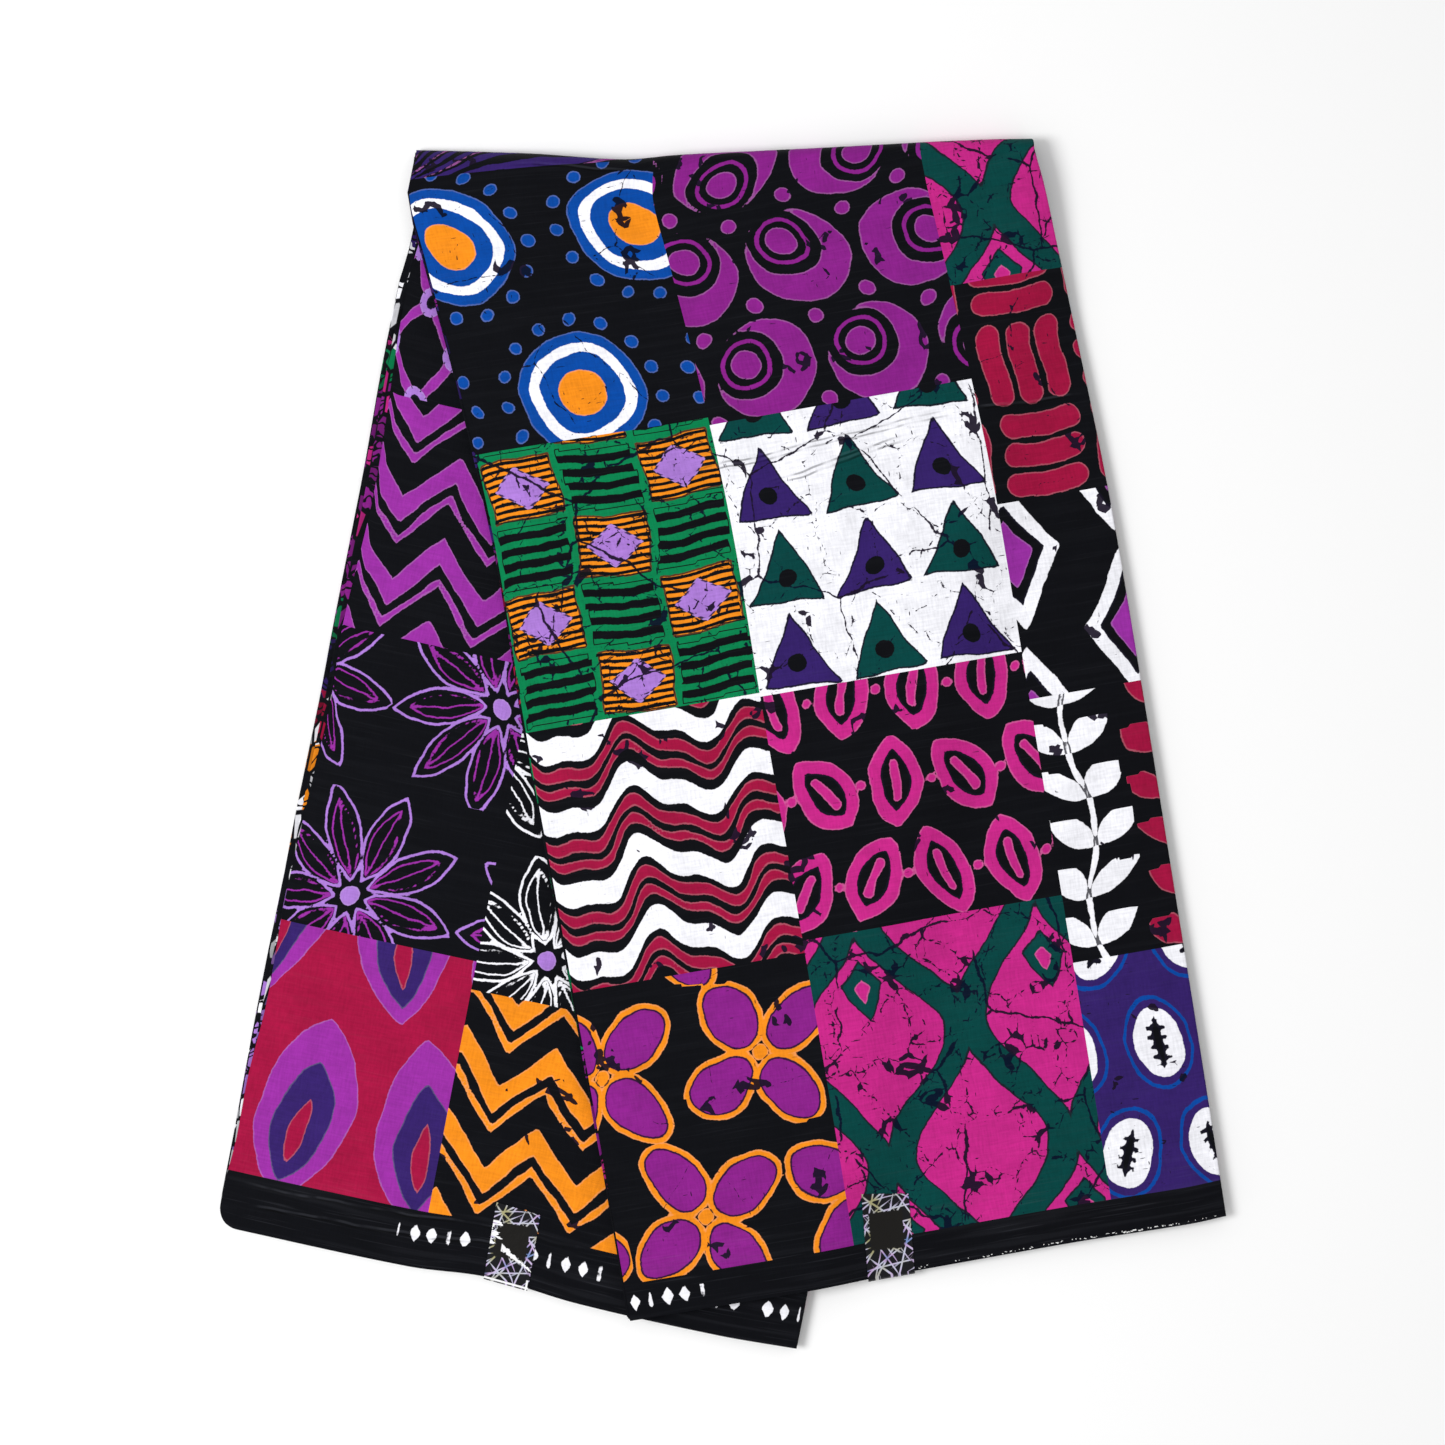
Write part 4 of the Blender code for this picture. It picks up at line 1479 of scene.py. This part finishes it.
def folded_edge_cotton():
    """The same cotton at its side bends and hems, where only short slivers of the print show,
    some as a ladder of dashes: purples and pinks in some stretches, white or green in others.
    Each sliver is darkened by a random amount, as painted shade on the slivers deep between the
    layers."""
    colours = bpy.context.scene.ankara_inks
    material, node, shader = new_material("folded_edge_cotton", roughness=0.85, specular=0.06)
    cloth_mm = cloth_coordinates(node)
    uneven = node("range", node("noise", cloth_mm, 0.12, 1.0), 0, 1, -9.0, 9.0)
    up = node("add", node("axes", cloth_mm)[1], uneven)
    common, rare = (
        fill_ramp(node("ramp", node("divide", up, STRETCH_LENGTH)), [
            (zone.up / STRETCH_LENGTH, getattr(colours, getattr(zone, column)))
            for zone in EDGE_ZONES], "CONSTANT")
        for column in ("common", "rare"))
    sliver_mm = node("scale", cloth_mm, (0.17, 0.085, 1.0))
    pick = node("channels", node("cells", sliver_mm, 1.0, 0.75))
    slivers = node("mix", node("step", pick[0], 0.68, 0.69), common, rare)
    border = node("cell borders", sliver_mm, 1.0, 0.75)
    rung = node("stripe borders", up, 1 / RUNG_PITCH, 0.4)
    rung = node("step", rung, 0.16, 0.2, 1.0, 0.0)
    gap = add_largest(node, (
        node("step", border, 0.08, 0.13, 1.0, 0.0),
        node("step", pick[1], 0.36, 0.37, 1.0, 0.0),
        node("multiply", rung, node("step", pick[2], 0.5, 0.51)),
    ))
    # Painted shade: each sliver is darkened by a random amount, down to 0.3, for the slivers deep
    # between the layers
    painted_sliver_shade = node("range", pick[1], 0.36, 1.0, 0.3, 0.95)
    shaded_slivers = node("mix", 1.0, slivers, painted_sliver_shade, blend_type="MULTIPLY")
    finish_cotton(node, shader, cloth_mm, node("mix", gap, shaded_slivers, colours.black))
    return material


def bleached_cotton_thread():
    """Undyed ends of the selvage's threads: off-white, fluffy and a little uneven."""
    colours = bpy.context.scene.ankara_inks
    material, node, shader = new_material(
        "bleached_cotton_thread", roughness=0.9, specular=0.1)
    fluff = node("range", node("fluff", node("place"), 900.0, 2.0), 0.3, 0.7)
    set_inputs(shader, {
        "Base Color": node("mix", fluff, colours.thread_shade, colours.thread)})
    return material


def torn_paper():
    """The label's paper backing where it is torn: bright, fibrous and matt."""
    settings = bpy.context.scene.ankara_labels
    material, node, shader = new_material("torn_paper", roughness=0.9, specular=0.1)
    shade = node("range", node("fluff", node("place"), 1400.0, 3.0), 0.3, 0.7, 0.82, 1.05)
    set_inputs(shader, {
        "Base Color": node("mix", 1.0, settings.paper, shade, blend_type="MULTIPLY")})
    return material


def add_panel(node, label_mm):
    """1 inside the label's plain panel, with slightly ragged sides."""
    x, y = node("axes", label_mm)[:2]
    outside = node("maximum", node("subtract", add_away(node, x, PANEL.x), PANEL.half_wide),
                   node("subtract", add_away(node, y, PANEL.y), PANEL.half_tall))
    ragged = node("range", node("noise", label_mm, 0.8), 0, 1, -0.8, 0.8)
    return node("step", node("add", outside, ragged), -0.3, 0.3, 1.0, 0.0)


def add_wear(node, label_mm):
    """1 where the film has worn off: in patches down the left side, along one slanting fold,
    and at a small tear beside the hem."""
    x, y = node("axes", label_mm)[:2]
    flakes = node("noise", node("scale", label_mm, (0.16, 0.55, 1.0)), 1.0)
    side = node("add", x, node("range", flakes, 0, 1, -9.0, 9.0))
    side = node("maximum", node("subtract", side, 1.8),
                node("subtract", add_away(node, y, 25.5), 6.5))
    torn = node("range", node("noise", label_mm, 0.6), 0, 1, -1.6, 1.6)
    fold = node("add", add_away(node, node("add", y, node("multiply", x, 0.6)), 22.0), torn)
    fold = node("subtract", fold, node("range", x, 7.0, 22.0, 1.7, 0.35))
    fold = node("maximum", fold, node("subtract", 6.5, x))
    tear = node("maximum", node("subtract", add_away(node, x, 22.9), 0.5),
                node("subtract", y, 2.6))
    return add_largest(node, (
        node("step", side, -0.4, 0.2, 1.0, 0.0),
        node("step", fold, -0.3, 0.3, 1.0, 0.0),
        node("step", tear, -0.2, 0.2, 1.0, 0.0),
    ))


def foil_film(name, worn):
    """Hologram foil on paper: a near-black film with bright straight scratches, whose hologram
    colours are painted reflections set by place rather than by the angle, a plain dark panel, and
    white paper where the film has worn away."""
    settings = bpy.context.scene.ankara_labels
    material, node, shader = new_material(name, roughness=0.3, specular=0.2)
    label_mm = node("scale", node("map", uv_map="UVMap"), LABEL_MM)
    marks = []
    for line in FOIL_LINES:
        angle = math.radians(line.angle)
        placed = node("turn", label_mm, (line.shift, 0.0, 0.0), (0.0, 0.0, angle))
        border = node("stripe borders", node("axes", placed)[0], 1 / line.gap)
        border = node("multiply", border, line.gap)
        mark = node("step", border, line.half, line.half + 0.18, 1.0, 0.0)
        lengths = node("noise", node("scale", placed, (0.35, 0.05, 1.0)), 1.0, 1.0)
        marks.append(node("multiply", mark, node("step", lengths, 0.42, 0.5)))
    panel = add_panel(node, label_mm)
    lines = node("multiply", add_largest(node, marks), node("subtract", 1.0, panel))
    # Painted reflection: the scratches take fixed hologram colours from a slow noise
    tint = fill_ramp(node("ramp", node("noise", label_mm, 0.09, 1.0)), [
        (place, to_linear(code)) for place, code in FOIL_GLINT_COLOURS])
    colour = node("mix", lines, node("mix", panel, settings.foil, settings.panel), tint)
    wear = node("multiply", add_wear(node, label_mm), worn)
    set_inputs(shader, {
        "Base Color": node("mix", wear, colour, settings.paper),
        "Metallic": node("multiply", lines, 0.35),
        "Normal": node("bump", 0.5, 0.25 * MM, node("noise", label_mm, 0.3, 3.0)),
    })
    return material


def bundle_of(layer):
    """The bundle that holds a layer, counted from the inside."""
    return BUNDLES[min(int((layer - 1) / LAYERS * len(BUNDLES)), len(BUNDLES) - 1)]


def bend_insets(side, layers, run, bulge):
    """Insets of the bends at one side, in mm, for each of the sheet's columns. Each bend joins
    a layer to the next one in, and its edge ripples along the strip."""
    odd, seed = (1, LEFT_BEND_SEED) if side == "left" else (0, RIGHT_BEND_SEED)
    columns = []
    for along, layer in zip(run.T, layers):
        upper = layer if layer % 2 == odd else layer + 1
        turn = chance(upper, 0, seed) * 2 * np.pi
        ripple = sum(
            wave.height * np.sin(along / wave.length + wave.turns * turn) for wave in RIPPLES)
        inset = getattr(bundle_of(upper), side) + BEND_INSET + ripple
        columns.append(np.clip(inset, 0.0, None))
    return np.stack(columns, axis=1) + bulge


def serpentine(cloth):
    """Face points of the folded layers and their places on the flat cloth, in mm."""
    stations = [("back", down) for down in LEAF_ROWS[::-1]]
    stations += [("fold", share) for share in FOLD_ROWS]
    stations += [("front", down) for down in LEAF_ROWS]
    edge = BORDER / (STRIP * MM)
    shares = np.concatenate([[0.0], np.linspace(edge, 1 - edge, INNER_COLUMNS), [1.0]])
    last = len(shares) - 1
    # For each column of the sheet: its place across, its layer, and how far round a bend it is,
    # down to the next layer and out
    turns = []
    for layer in range(LAYERS - 1, 1, -1):
        columns, end = (range(last, -1, -1), 0) if layer % 2 else (range(last + 1), last)
        turns += [(column, layer, 0.0, 0.0) for column in columns]
        if layer > 2:
            turns += [(end, layer, (1 - math.cos(angle)) / 2, math.sin(angle))
                      for angle in BEND_ANGLES]
    column_of, layer_of, level_of, bend_of = np.array(turns).T
    across = np.array([crowd_columns(part, down, shares) for part, down in stations])
    across = across[:, column_of.astype(int)]
    run = np.array([
        station_run(part, down, row) for (part, down), row in zip(stations, across)])
    depth = np.broadcast_to((layer_of - 0.5 - level_of) * PITCH, across.shape)
    bulge = cloth.bend / MM * (1 - bend_of)
    inset = Inset(
        bend_insets("left", layer_of, run, bulge), bend_insets("right", layer_of, run, bulge),
        np.array([bundle_of(layer).hem + HEM_UNEVENNESS * chance(layer, 1, HEM_SEED)
                  for layer in layer_of]))
    points = strip_points(run, across, depth, inset, inset)
    steps = np.linalg.norm(np.diff(points[len(stations) // 2], axis=0), axis=-1)
    along = np.concatenate([[0.0], np.cumsum(steps)]) / MM
    up = (run / MM) + STRETCH_LENGTH / 2
    return points, np.stack([np.broadcast_to(along, up.shape), up], axis=-1)


def crowd_columns(part, down, shares):
    """Places across a row of the folded layers, crowded together where the leaf sinks."""
    if part != "front":
        return shares
    left = FOLD_LEFT + (FRONT_HEM_LEFT - FOLD_LEFT) * down
    right = FOLD_RIGHT + (FRONT_HEM_RIGHT - FOLD_RIGHT) * down
    start, end = past_back_leaf(left), past_back_leaf(right)
    low = np.clip(-start / (end - start), shares[2], shares[-3])
    high = np.clip((SINK_WIDTH - start) / (end - start), low + LEAST_CROWD, shares[-2])
    known = np.array([0, shares[1], shares[1] + (low - shares[1]) * STAYING,
                      shares[-2] - (shares[-2] - high) * STAYING, shares[-2], 1])
    return np.interp(shares, known, [0, shares[1], low, high, shares[-2], 1])


def station_run(part, down, across):
    """Distance from the fold's middle of a row of the folded layers."""
    if part == "back":
        return -FOLD_ARC / 2 - down * leaf_length(BACK, across)
    if part == "front":
        return FOLD_ARC / 2 + down * leaf_length(FRONT, across)
    return np.full(across.shape, (down - 0.5) * FOLD_ARC)


def apply_modifier(piece, kind, name, **settings):
    """Add a modifier with its settings and apply it."""
    bpy.ops.object.select_all(action="DESELECT")
    bpy.context.view_layer.objects.active = piece
    piece.select_set(True)
    modifier = piece.modifiers.new(name, kind)
    for setting, value in settings.items():
        setattr(modifier, setting, value)
    bpy.ops.object.modifier_apply(modifier=name)


def ride_and_stand_for(piece, slot, *nodes):
    """Every piece rides on the one body, and stands for its solid."""
    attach(piece, "root")
    if nodes:
        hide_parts(*nodes)


def thread_mesh(name, paths):
    """Thin closed tubes along many paths. Each path is its points, in metres, and a radius."""
    points, faces = [], []
    sides = THREAD_SIDES
    for path, radius in paths:
        first = len(points)
        ends = path[-1] - path[0]
        across = np.cross(ends, (0.0, 0.0, 1.0))
        across /= np.linalg.norm(across)
        over = np.cross(across, ends)
        over /= np.linalg.norm(over)
        for place, share in zip(path, RADIUS_SHARES):
            for n in range(sides):
                angle = 2 * math.pi * n / sides
                offset = across * math.cos(angle) + over * math.sin(angle) * THREAD_FLATNESS
                points.append(place + offset * radius * share)
        for k in range(len(path) - 1):
            for n in range(sides):
                corner, beside = first + k * sides + n, first + k * sides + (n + 1) % sides
                faces.append((corner, beside, beside + sides, corner + sides))
        faces.append(tuple(first + n for n in reversed(range(sides))))
        faces.append(tuple(first + (len(path) - 1) * sides + n for n in range(sides)))
    return smooth_mesh(name, points, faces)


def thread_path(a, number, thick):
    """Four points of a thread's end that lies on the front hem, and its radius. Sizes are in mm
    until the points are placed."""
    longer, turn, later, thicker, bowed = (
        chance(number, n, THREAD_SEED) for n in range(1, 6))
    size = THREAD_LENGTH.least + THREAD_LENGTH.more * longer ** 2
    angle = (turn - 0.5) * THREAD_TURN
    radius = thick * (THREAD_THICKNESS.least + THREAD_THICKNESS.more * thicker) * MM
    bow = BOW_SHARES * (bowed - 0.5) * THREAD_BOW
    along = np.clip(a + THREAD_PLACES * size * math.cos(angle), 0, STRIP)
    start = THREAD_START.least + THREAD_START.more * later
    up = start + THREAD_PLACES * size * math.sin(angle) * THREAD_RISE + bow
    points = stretch_points(OUTER, along, up, 0)
    points[:, 2] += radius * THREAD_LIFT
    return points, radius


def lay_stretch(stretch, threads):
    """Build a stretch's two sheets: the fine one that shows and the one that lies below.
    The loose threads given are not used."""
    cloth = bpy.context.scene.ankara_cloth
    material = wax_printed_cotton(stretch.finish, stretch.creases)
    split = stretch.split
    shown = (stretch.shown, 0.0, split - HALF_GAP, split, cloth.step, SHOWN_EVERY, threads)
    hidden = (stretch.hidden, split + HALF_GAP, STRETCH_LENGTH, STRETCH_LENGTH - split,
              cloth.hidden_step, HIDDEN_EVERY, [])
    for name, low, high, share, step, every, beside in (shown, hidden):
        piece = printed_sheet(name, stretch, low, high, step / MM, every, material)
        ride_and_stand_for(piece, stretch.slot, stretch.node)
        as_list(beside)


class ANKARA_OT_selvage_threads(bpy.types.Operator):
    """Lay the loose white thread ends along the front hem"""

    bl_idname = "ankara.selvage_threads"
    bl_label = "Selvage threads"

    def execute(self, context):
        paths = []
        for fray in FRAYS:
            for n in range(fray.count):
                number = len(paths) + 1
                place = (n + chance(number, 6, THREAD_SEED)) / fray.count
                a = fray.start + (fray.stop - fray.start) * place
                paths.append(thread_path(a, number, fray.thick))
        mesh = thread_mesh("selvage_threads", paths)
        piece = link_piece("selvage_threads", mesh, bleached_cotton_thread())
        ride_and_stand_for(piece, "print_face")
        return {"FINISHED"}


class ANKARA_OT_outer_stretch(bpy.types.Operator):
    """Build the outer stretch: the front leaf's face, the fold and the back leaf's underside"""

    bl_idname = "ankara.outer_stretch"
    bl_label = "Outer stretch"

    def execute(self, context):
        lay_stretch(OUTER, [bpy.data.objects["selvage_threads"]])
        return {"FINISHED"}


class ANKARA_OT_inner_stretch(bpy.types.Operator):
    """Build the inner stretch: the back leaf's face, the crease and the front leaf's underside"""

    bl_idname = "ankara.inner_stretch"
    bl_label = "Inner stretch"

    def execute(self, context):
        lay_stretch(INNER, [])
        return {"FINISHED"}


class ANKARA_OT_folded_layers(bpy.types.Operator):
    """Build the layers between the two stretches, as one sheet folded back and forth"""

    bl_idname = "ankara.folded_layers"
    bl_label = "Folded layers"

    def execute(self, context):
        points, places = serpentine(context.scene.ankara_cloth)
        index = np.arange(points[..., 0].size).reshape(points.shape[:2])
        mesh = smooth_mesh("folded_layers", points, quads(index).tolist())
        lay_cloth_map(mesh, places.reshape(-1, 2))
        piece = link_piece("folded_layers", mesh, folded_edge_cotton())
        apply_modifier(piece, "SOLIDIFY", "thickness", thickness=PRESSED_THIN, offset=0.0)
        piece.data.set_sharp_from_angle(angle=LAYERS_SHARP)
        ride_and_stand_for(piece, "print_edges", "hidden_layers")
        return {"FINISHED"}


def pick_points(piece, test):
    """Select the points of a piece in edit mode whose place passes a test."""
    mesh = bmesh.from_edit_mesh(piece.data)
    for point in mesh.verts:
        point.select = bool(test(point.co))
    mesh.select_flush_mode()
    bmesh.update_edit_mesh(piece.data)


def label_grid(name, label, hems, tops):
    """A flat grid whose two ends are turned to their slants. Its hem end is left selected and is
    kept as a group."""
    wide = (abs(hems[1] - hems[0]) + abs(tops[1] - tops[0])) / 2
    tall = (label.left_length + label.right_length) / 2 * MM
    bpy.ops.object.select_all(action="DESELECT")
    bpy.ops.mesh.primitive_grid_add(
        x_subdivisions=LABEL_COLUMNS, y_subdivisions=LABEL_ROWS, size=1.0)
    piece = bpy.context.object
    piece.name = name
    bpy.ops.object.mode_set(mode="EDIT")
    bpy.ops.mesh.select_mode(type="VERT")
    bpy.ops.mesh.select_all(action="SELECT")
    bpy.ops.transform.resize(value=(wide, tall, 1.0))
    for end, corners in ((tall / 2, tops), (-tall / 2, hems)):
        pick_points(piece, lambda place, end=end: abs(place.y - end) < ON_END)
        slant = np.angle(corners[1] - corners[0])
        # transform.rotate counts its angle clockwise
        bpy.ops.transform.rotate(
            value=label.turn - slant, orient_axis="Z", center_override=(0, end, 0))
    bpy.ops.object.vertex_group_assign_new()
    bpy.ops.object.mode_set(mode="OBJECT")
    return piece


def fold_over_hem(hems, settings):
    """Rumple the active label, then extrude its hem end outwards and down. It stays in edit
    mode."""
    bpy.ops.object.mode_set(mode="EDIT")
    bpy.ops.mesh.select_all(action="SELECT")
    bpy.ops.transform.vertex_random(offset=LABEL_RUMPLE, uniform=0.0, normal=1.0, seed=4)
    bpy.ops.mesh.select_all(action="DESELECT")
    bpy.ops.object.vertex_group_select()
    outwards = -1j * (hems[1] - hems[0]) / abs(hems[1] - hems[0])
    for out, down in LABEL_BEND:
        step = outwards * settings.reach * out
        bpy.ops.mesh.extrude_region_move(TRANSFORM_OT_translate={
            "value": (step.real, step.imag, -settings.lap * down)})


def label_piece(name, label, node, cloth_piece):
    """A foil label: a flat grid fitted to the hem's slant, laid on the cloth, then folded down
    over the hem."""
    settings = bpy.context.scene.ankara_labels
    hems = leaf_plan(label.leaf, np.ones(2), np.array([label.hem_left, label.hem_right]), FLUSH)
    lean = math.sin(label.turn) - 1j * math.cos(label.turn)
    tops = hems - lean * np.array([label.left_length, label.right_length]) * MM
    middle = (hems.sum() + tops.sum()) / 4
    piece = label_grid(name, label, hems, tops)
    piece.rotation_euler.z = label.turn
    piece.location = (middle.real, middle.imag, LABEL_START)
    bpy.ops.object.transform_apply(location=True, rotation=True, scale=True)
    apply_modifier(piece, "SHRINKWRAP", "lay_on_cloth", wrap_method="PROJECT",
                   wrap_mode="ABOVE_SURFACE", use_project_z=True,
                   use_negative_direction=True, use_positive_direction=False,
                   target=cloth_piece, offset=settings.seat)
    fold_over_hem(hems, settings)
    piece.data.materials.append(foil_film(f"{name}_film", label.worn))
    if label.worn:
        piece.data.materials.append(torn_paper())
        piece.active_material_index = 1
        bpy.ops.mesh.select_mode(type="FACE")
        pick_bend(piece)
        bpy.ops.object.material_slot_assign()
    bpy.ops.object.mode_set(mode="OBJECT")
    apply_modifier(piece, "SOLIDIFY", "film", thickness=settings.film, offset=1.0)
    bpy.ops.object.shade_smooth_by_angle(angle=LABEL_SHARP)
    ride_and_stand_for(piece, "foil_label", node)


def pick_bend(piece):
    """Select the first row of faces that was extruded, where the label bends over the hem."""
    mesh = bmesh.from_edit_mesh(piece.data)
    mesh.faces.ensure_lookup_table()
    start = len(mesh.faces) - len(LABEL_BEND) * LABEL_COLUMNS
    for face in mesh.faces:
        face.select = start <= face.index < start + LABEL_COLUMNS
    bmesh.update_edit_mesh(piece.data)


class ANKARA_OT_foil_labels(bpy.types.Operator):
    """Build the two foil labels that lap over the hems"""

    bl_idname = "ankara.foil_labels"
    bl_label = "Foil labels"

    def execute(self, context):
        cloths = bpy.data.objects
        label_piece("front_foil", FRONT_LABEL, "front_label", cloths["front_cloth"])
        label_piece("back_foil", BACK_LABEL, "back_label", cloths["back_cloth"])
        return {"FINISHED"}


class ANKARA_OT_stage(bpy.types.Operator):
    """Set the pale floor, the soft light and the camera straight above"""

    bl_idname = "ankara.stage"
    bl_label = "Stage"

    def execute(self, context):
        settings = context.scene.ankara_stage
        bpy.ops.object.select_all(action="DESELECT")
        bpy.ops.mesh.primitive_plane_add(size=FLOOR_SIZE, location=(0, 0, -FLOOR_DROP))
        floor = context.object
        floor.name = "floor"
        # Matt paper: an even pale ground that takes only a faint shadow
        material, node, shader = new_material(
            "matt_paper_backdrop", roughness=0.95, specular=0.1)
        set_inputs(shader, {"Base Color": settings.floor})
        floor.data.materials.append(material)

        # Light from all round, as in a white room, keeps the whole print readable
        world = bpy.data.worlds.new("soft_white_room")
        world.use_nodes = True
        set_inputs(world.node_tree.nodes["Background"], {
            "Color": to_linear("#ffffff"), "Strength": settings.sky})
        context.scene.world = world

        # A large light at the left shows the creases and the soft folds
        key = bpy.data.lights.new("key_softbox", "AREA")
        key.shape = "DISK"
        key.size = KEY_SIZE
        key.energy = settings.key
        lamp = bpy.data.objects.new("key_softbox", key)
        lamp.location = KEY_PLACE
        lamp.rotation_euler = (-Vector(lamp.location)).to_track_quat("-Z", "Y").to_euler()
        context.scene.collection.objects.link(lamp)

        camera = bpy.data.cameras.new("overhead")
        camera.lens = settings.lens
        camera.sensor_width = SENSOR_WIDTH
        eye = bpy.data.objects.new("overhead", camera)
        height = settings.frame_width * settings.lens / camera.sensor_width
        eye.location = (0.0, EYE_FORWARD, height + LEAF_THICKNESS)
        context.scene.collection.objects.link(eye)
        context.scene.camera = eye
        context.scene.view_settings.view_transform = "Standard"
        return {"FINISHED"}


class ANKARA_PT_panel(bpy.types.Panel):
    """The packet's pieces, in the order they are built"""

    bl_label = "Folded ankara cloth"
    bl_idname = "ANKARA_PT_panel"
    bl_space_type = "VIEW_3D"
    bl_region_type = "UI"
    bl_category = "Ankara"

    def draw(self, context):
        for operator in OPERATORS:
            self.layout.operator(operator.bl_idname)


SETTINGS = {
    "ankara_cloth": ClothSettings,
    "ankara_inks": InkColours,
    "ankara_labels": LabelSettings,
    "ankara_stage": StageSettings,
}
OPERATORS = (
    ANKARA_OT_selvage_threads,
    ANKARA_OT_outer_stretch,
    ANKARA_OT_inner_stretch,
    ANKARA_OT_folded_layers,
    ANKARA_OT_foil_labels,
    ANKARA_OT_stage,
)


def register():
    for kind in (*SETTINGS.values(), *OPERATORS, ANKARA_PT_panel):
        bpy.utils.register_class(kind)
    for name, kind in SETTINGS.items():
        setattr(bpy.types.Scene, name, bpy.props.PointerProperty(type=kind))


def unregister():
    for name in SETTINGS:
        delattr(bpy.types.Scene, name)
    for kind in (ANKARA_PT_panel, *reversed(OPERATORS), *SETTINGS.values()):
        bpy.utils.unregister_class(kind)


def main():
    register()
    bpy.ops.ankara.selvage_threads()
    bpy.ops.ankara.outer_stretch()
    bpy.ops.ankara.inner_stretch()
    bpy.ops.ankara.folded_layers()
    bpy.ops.ankara.foil_labels()
    bpy.ops.ankara.stage()


if __name__ == "__main__":
    main()
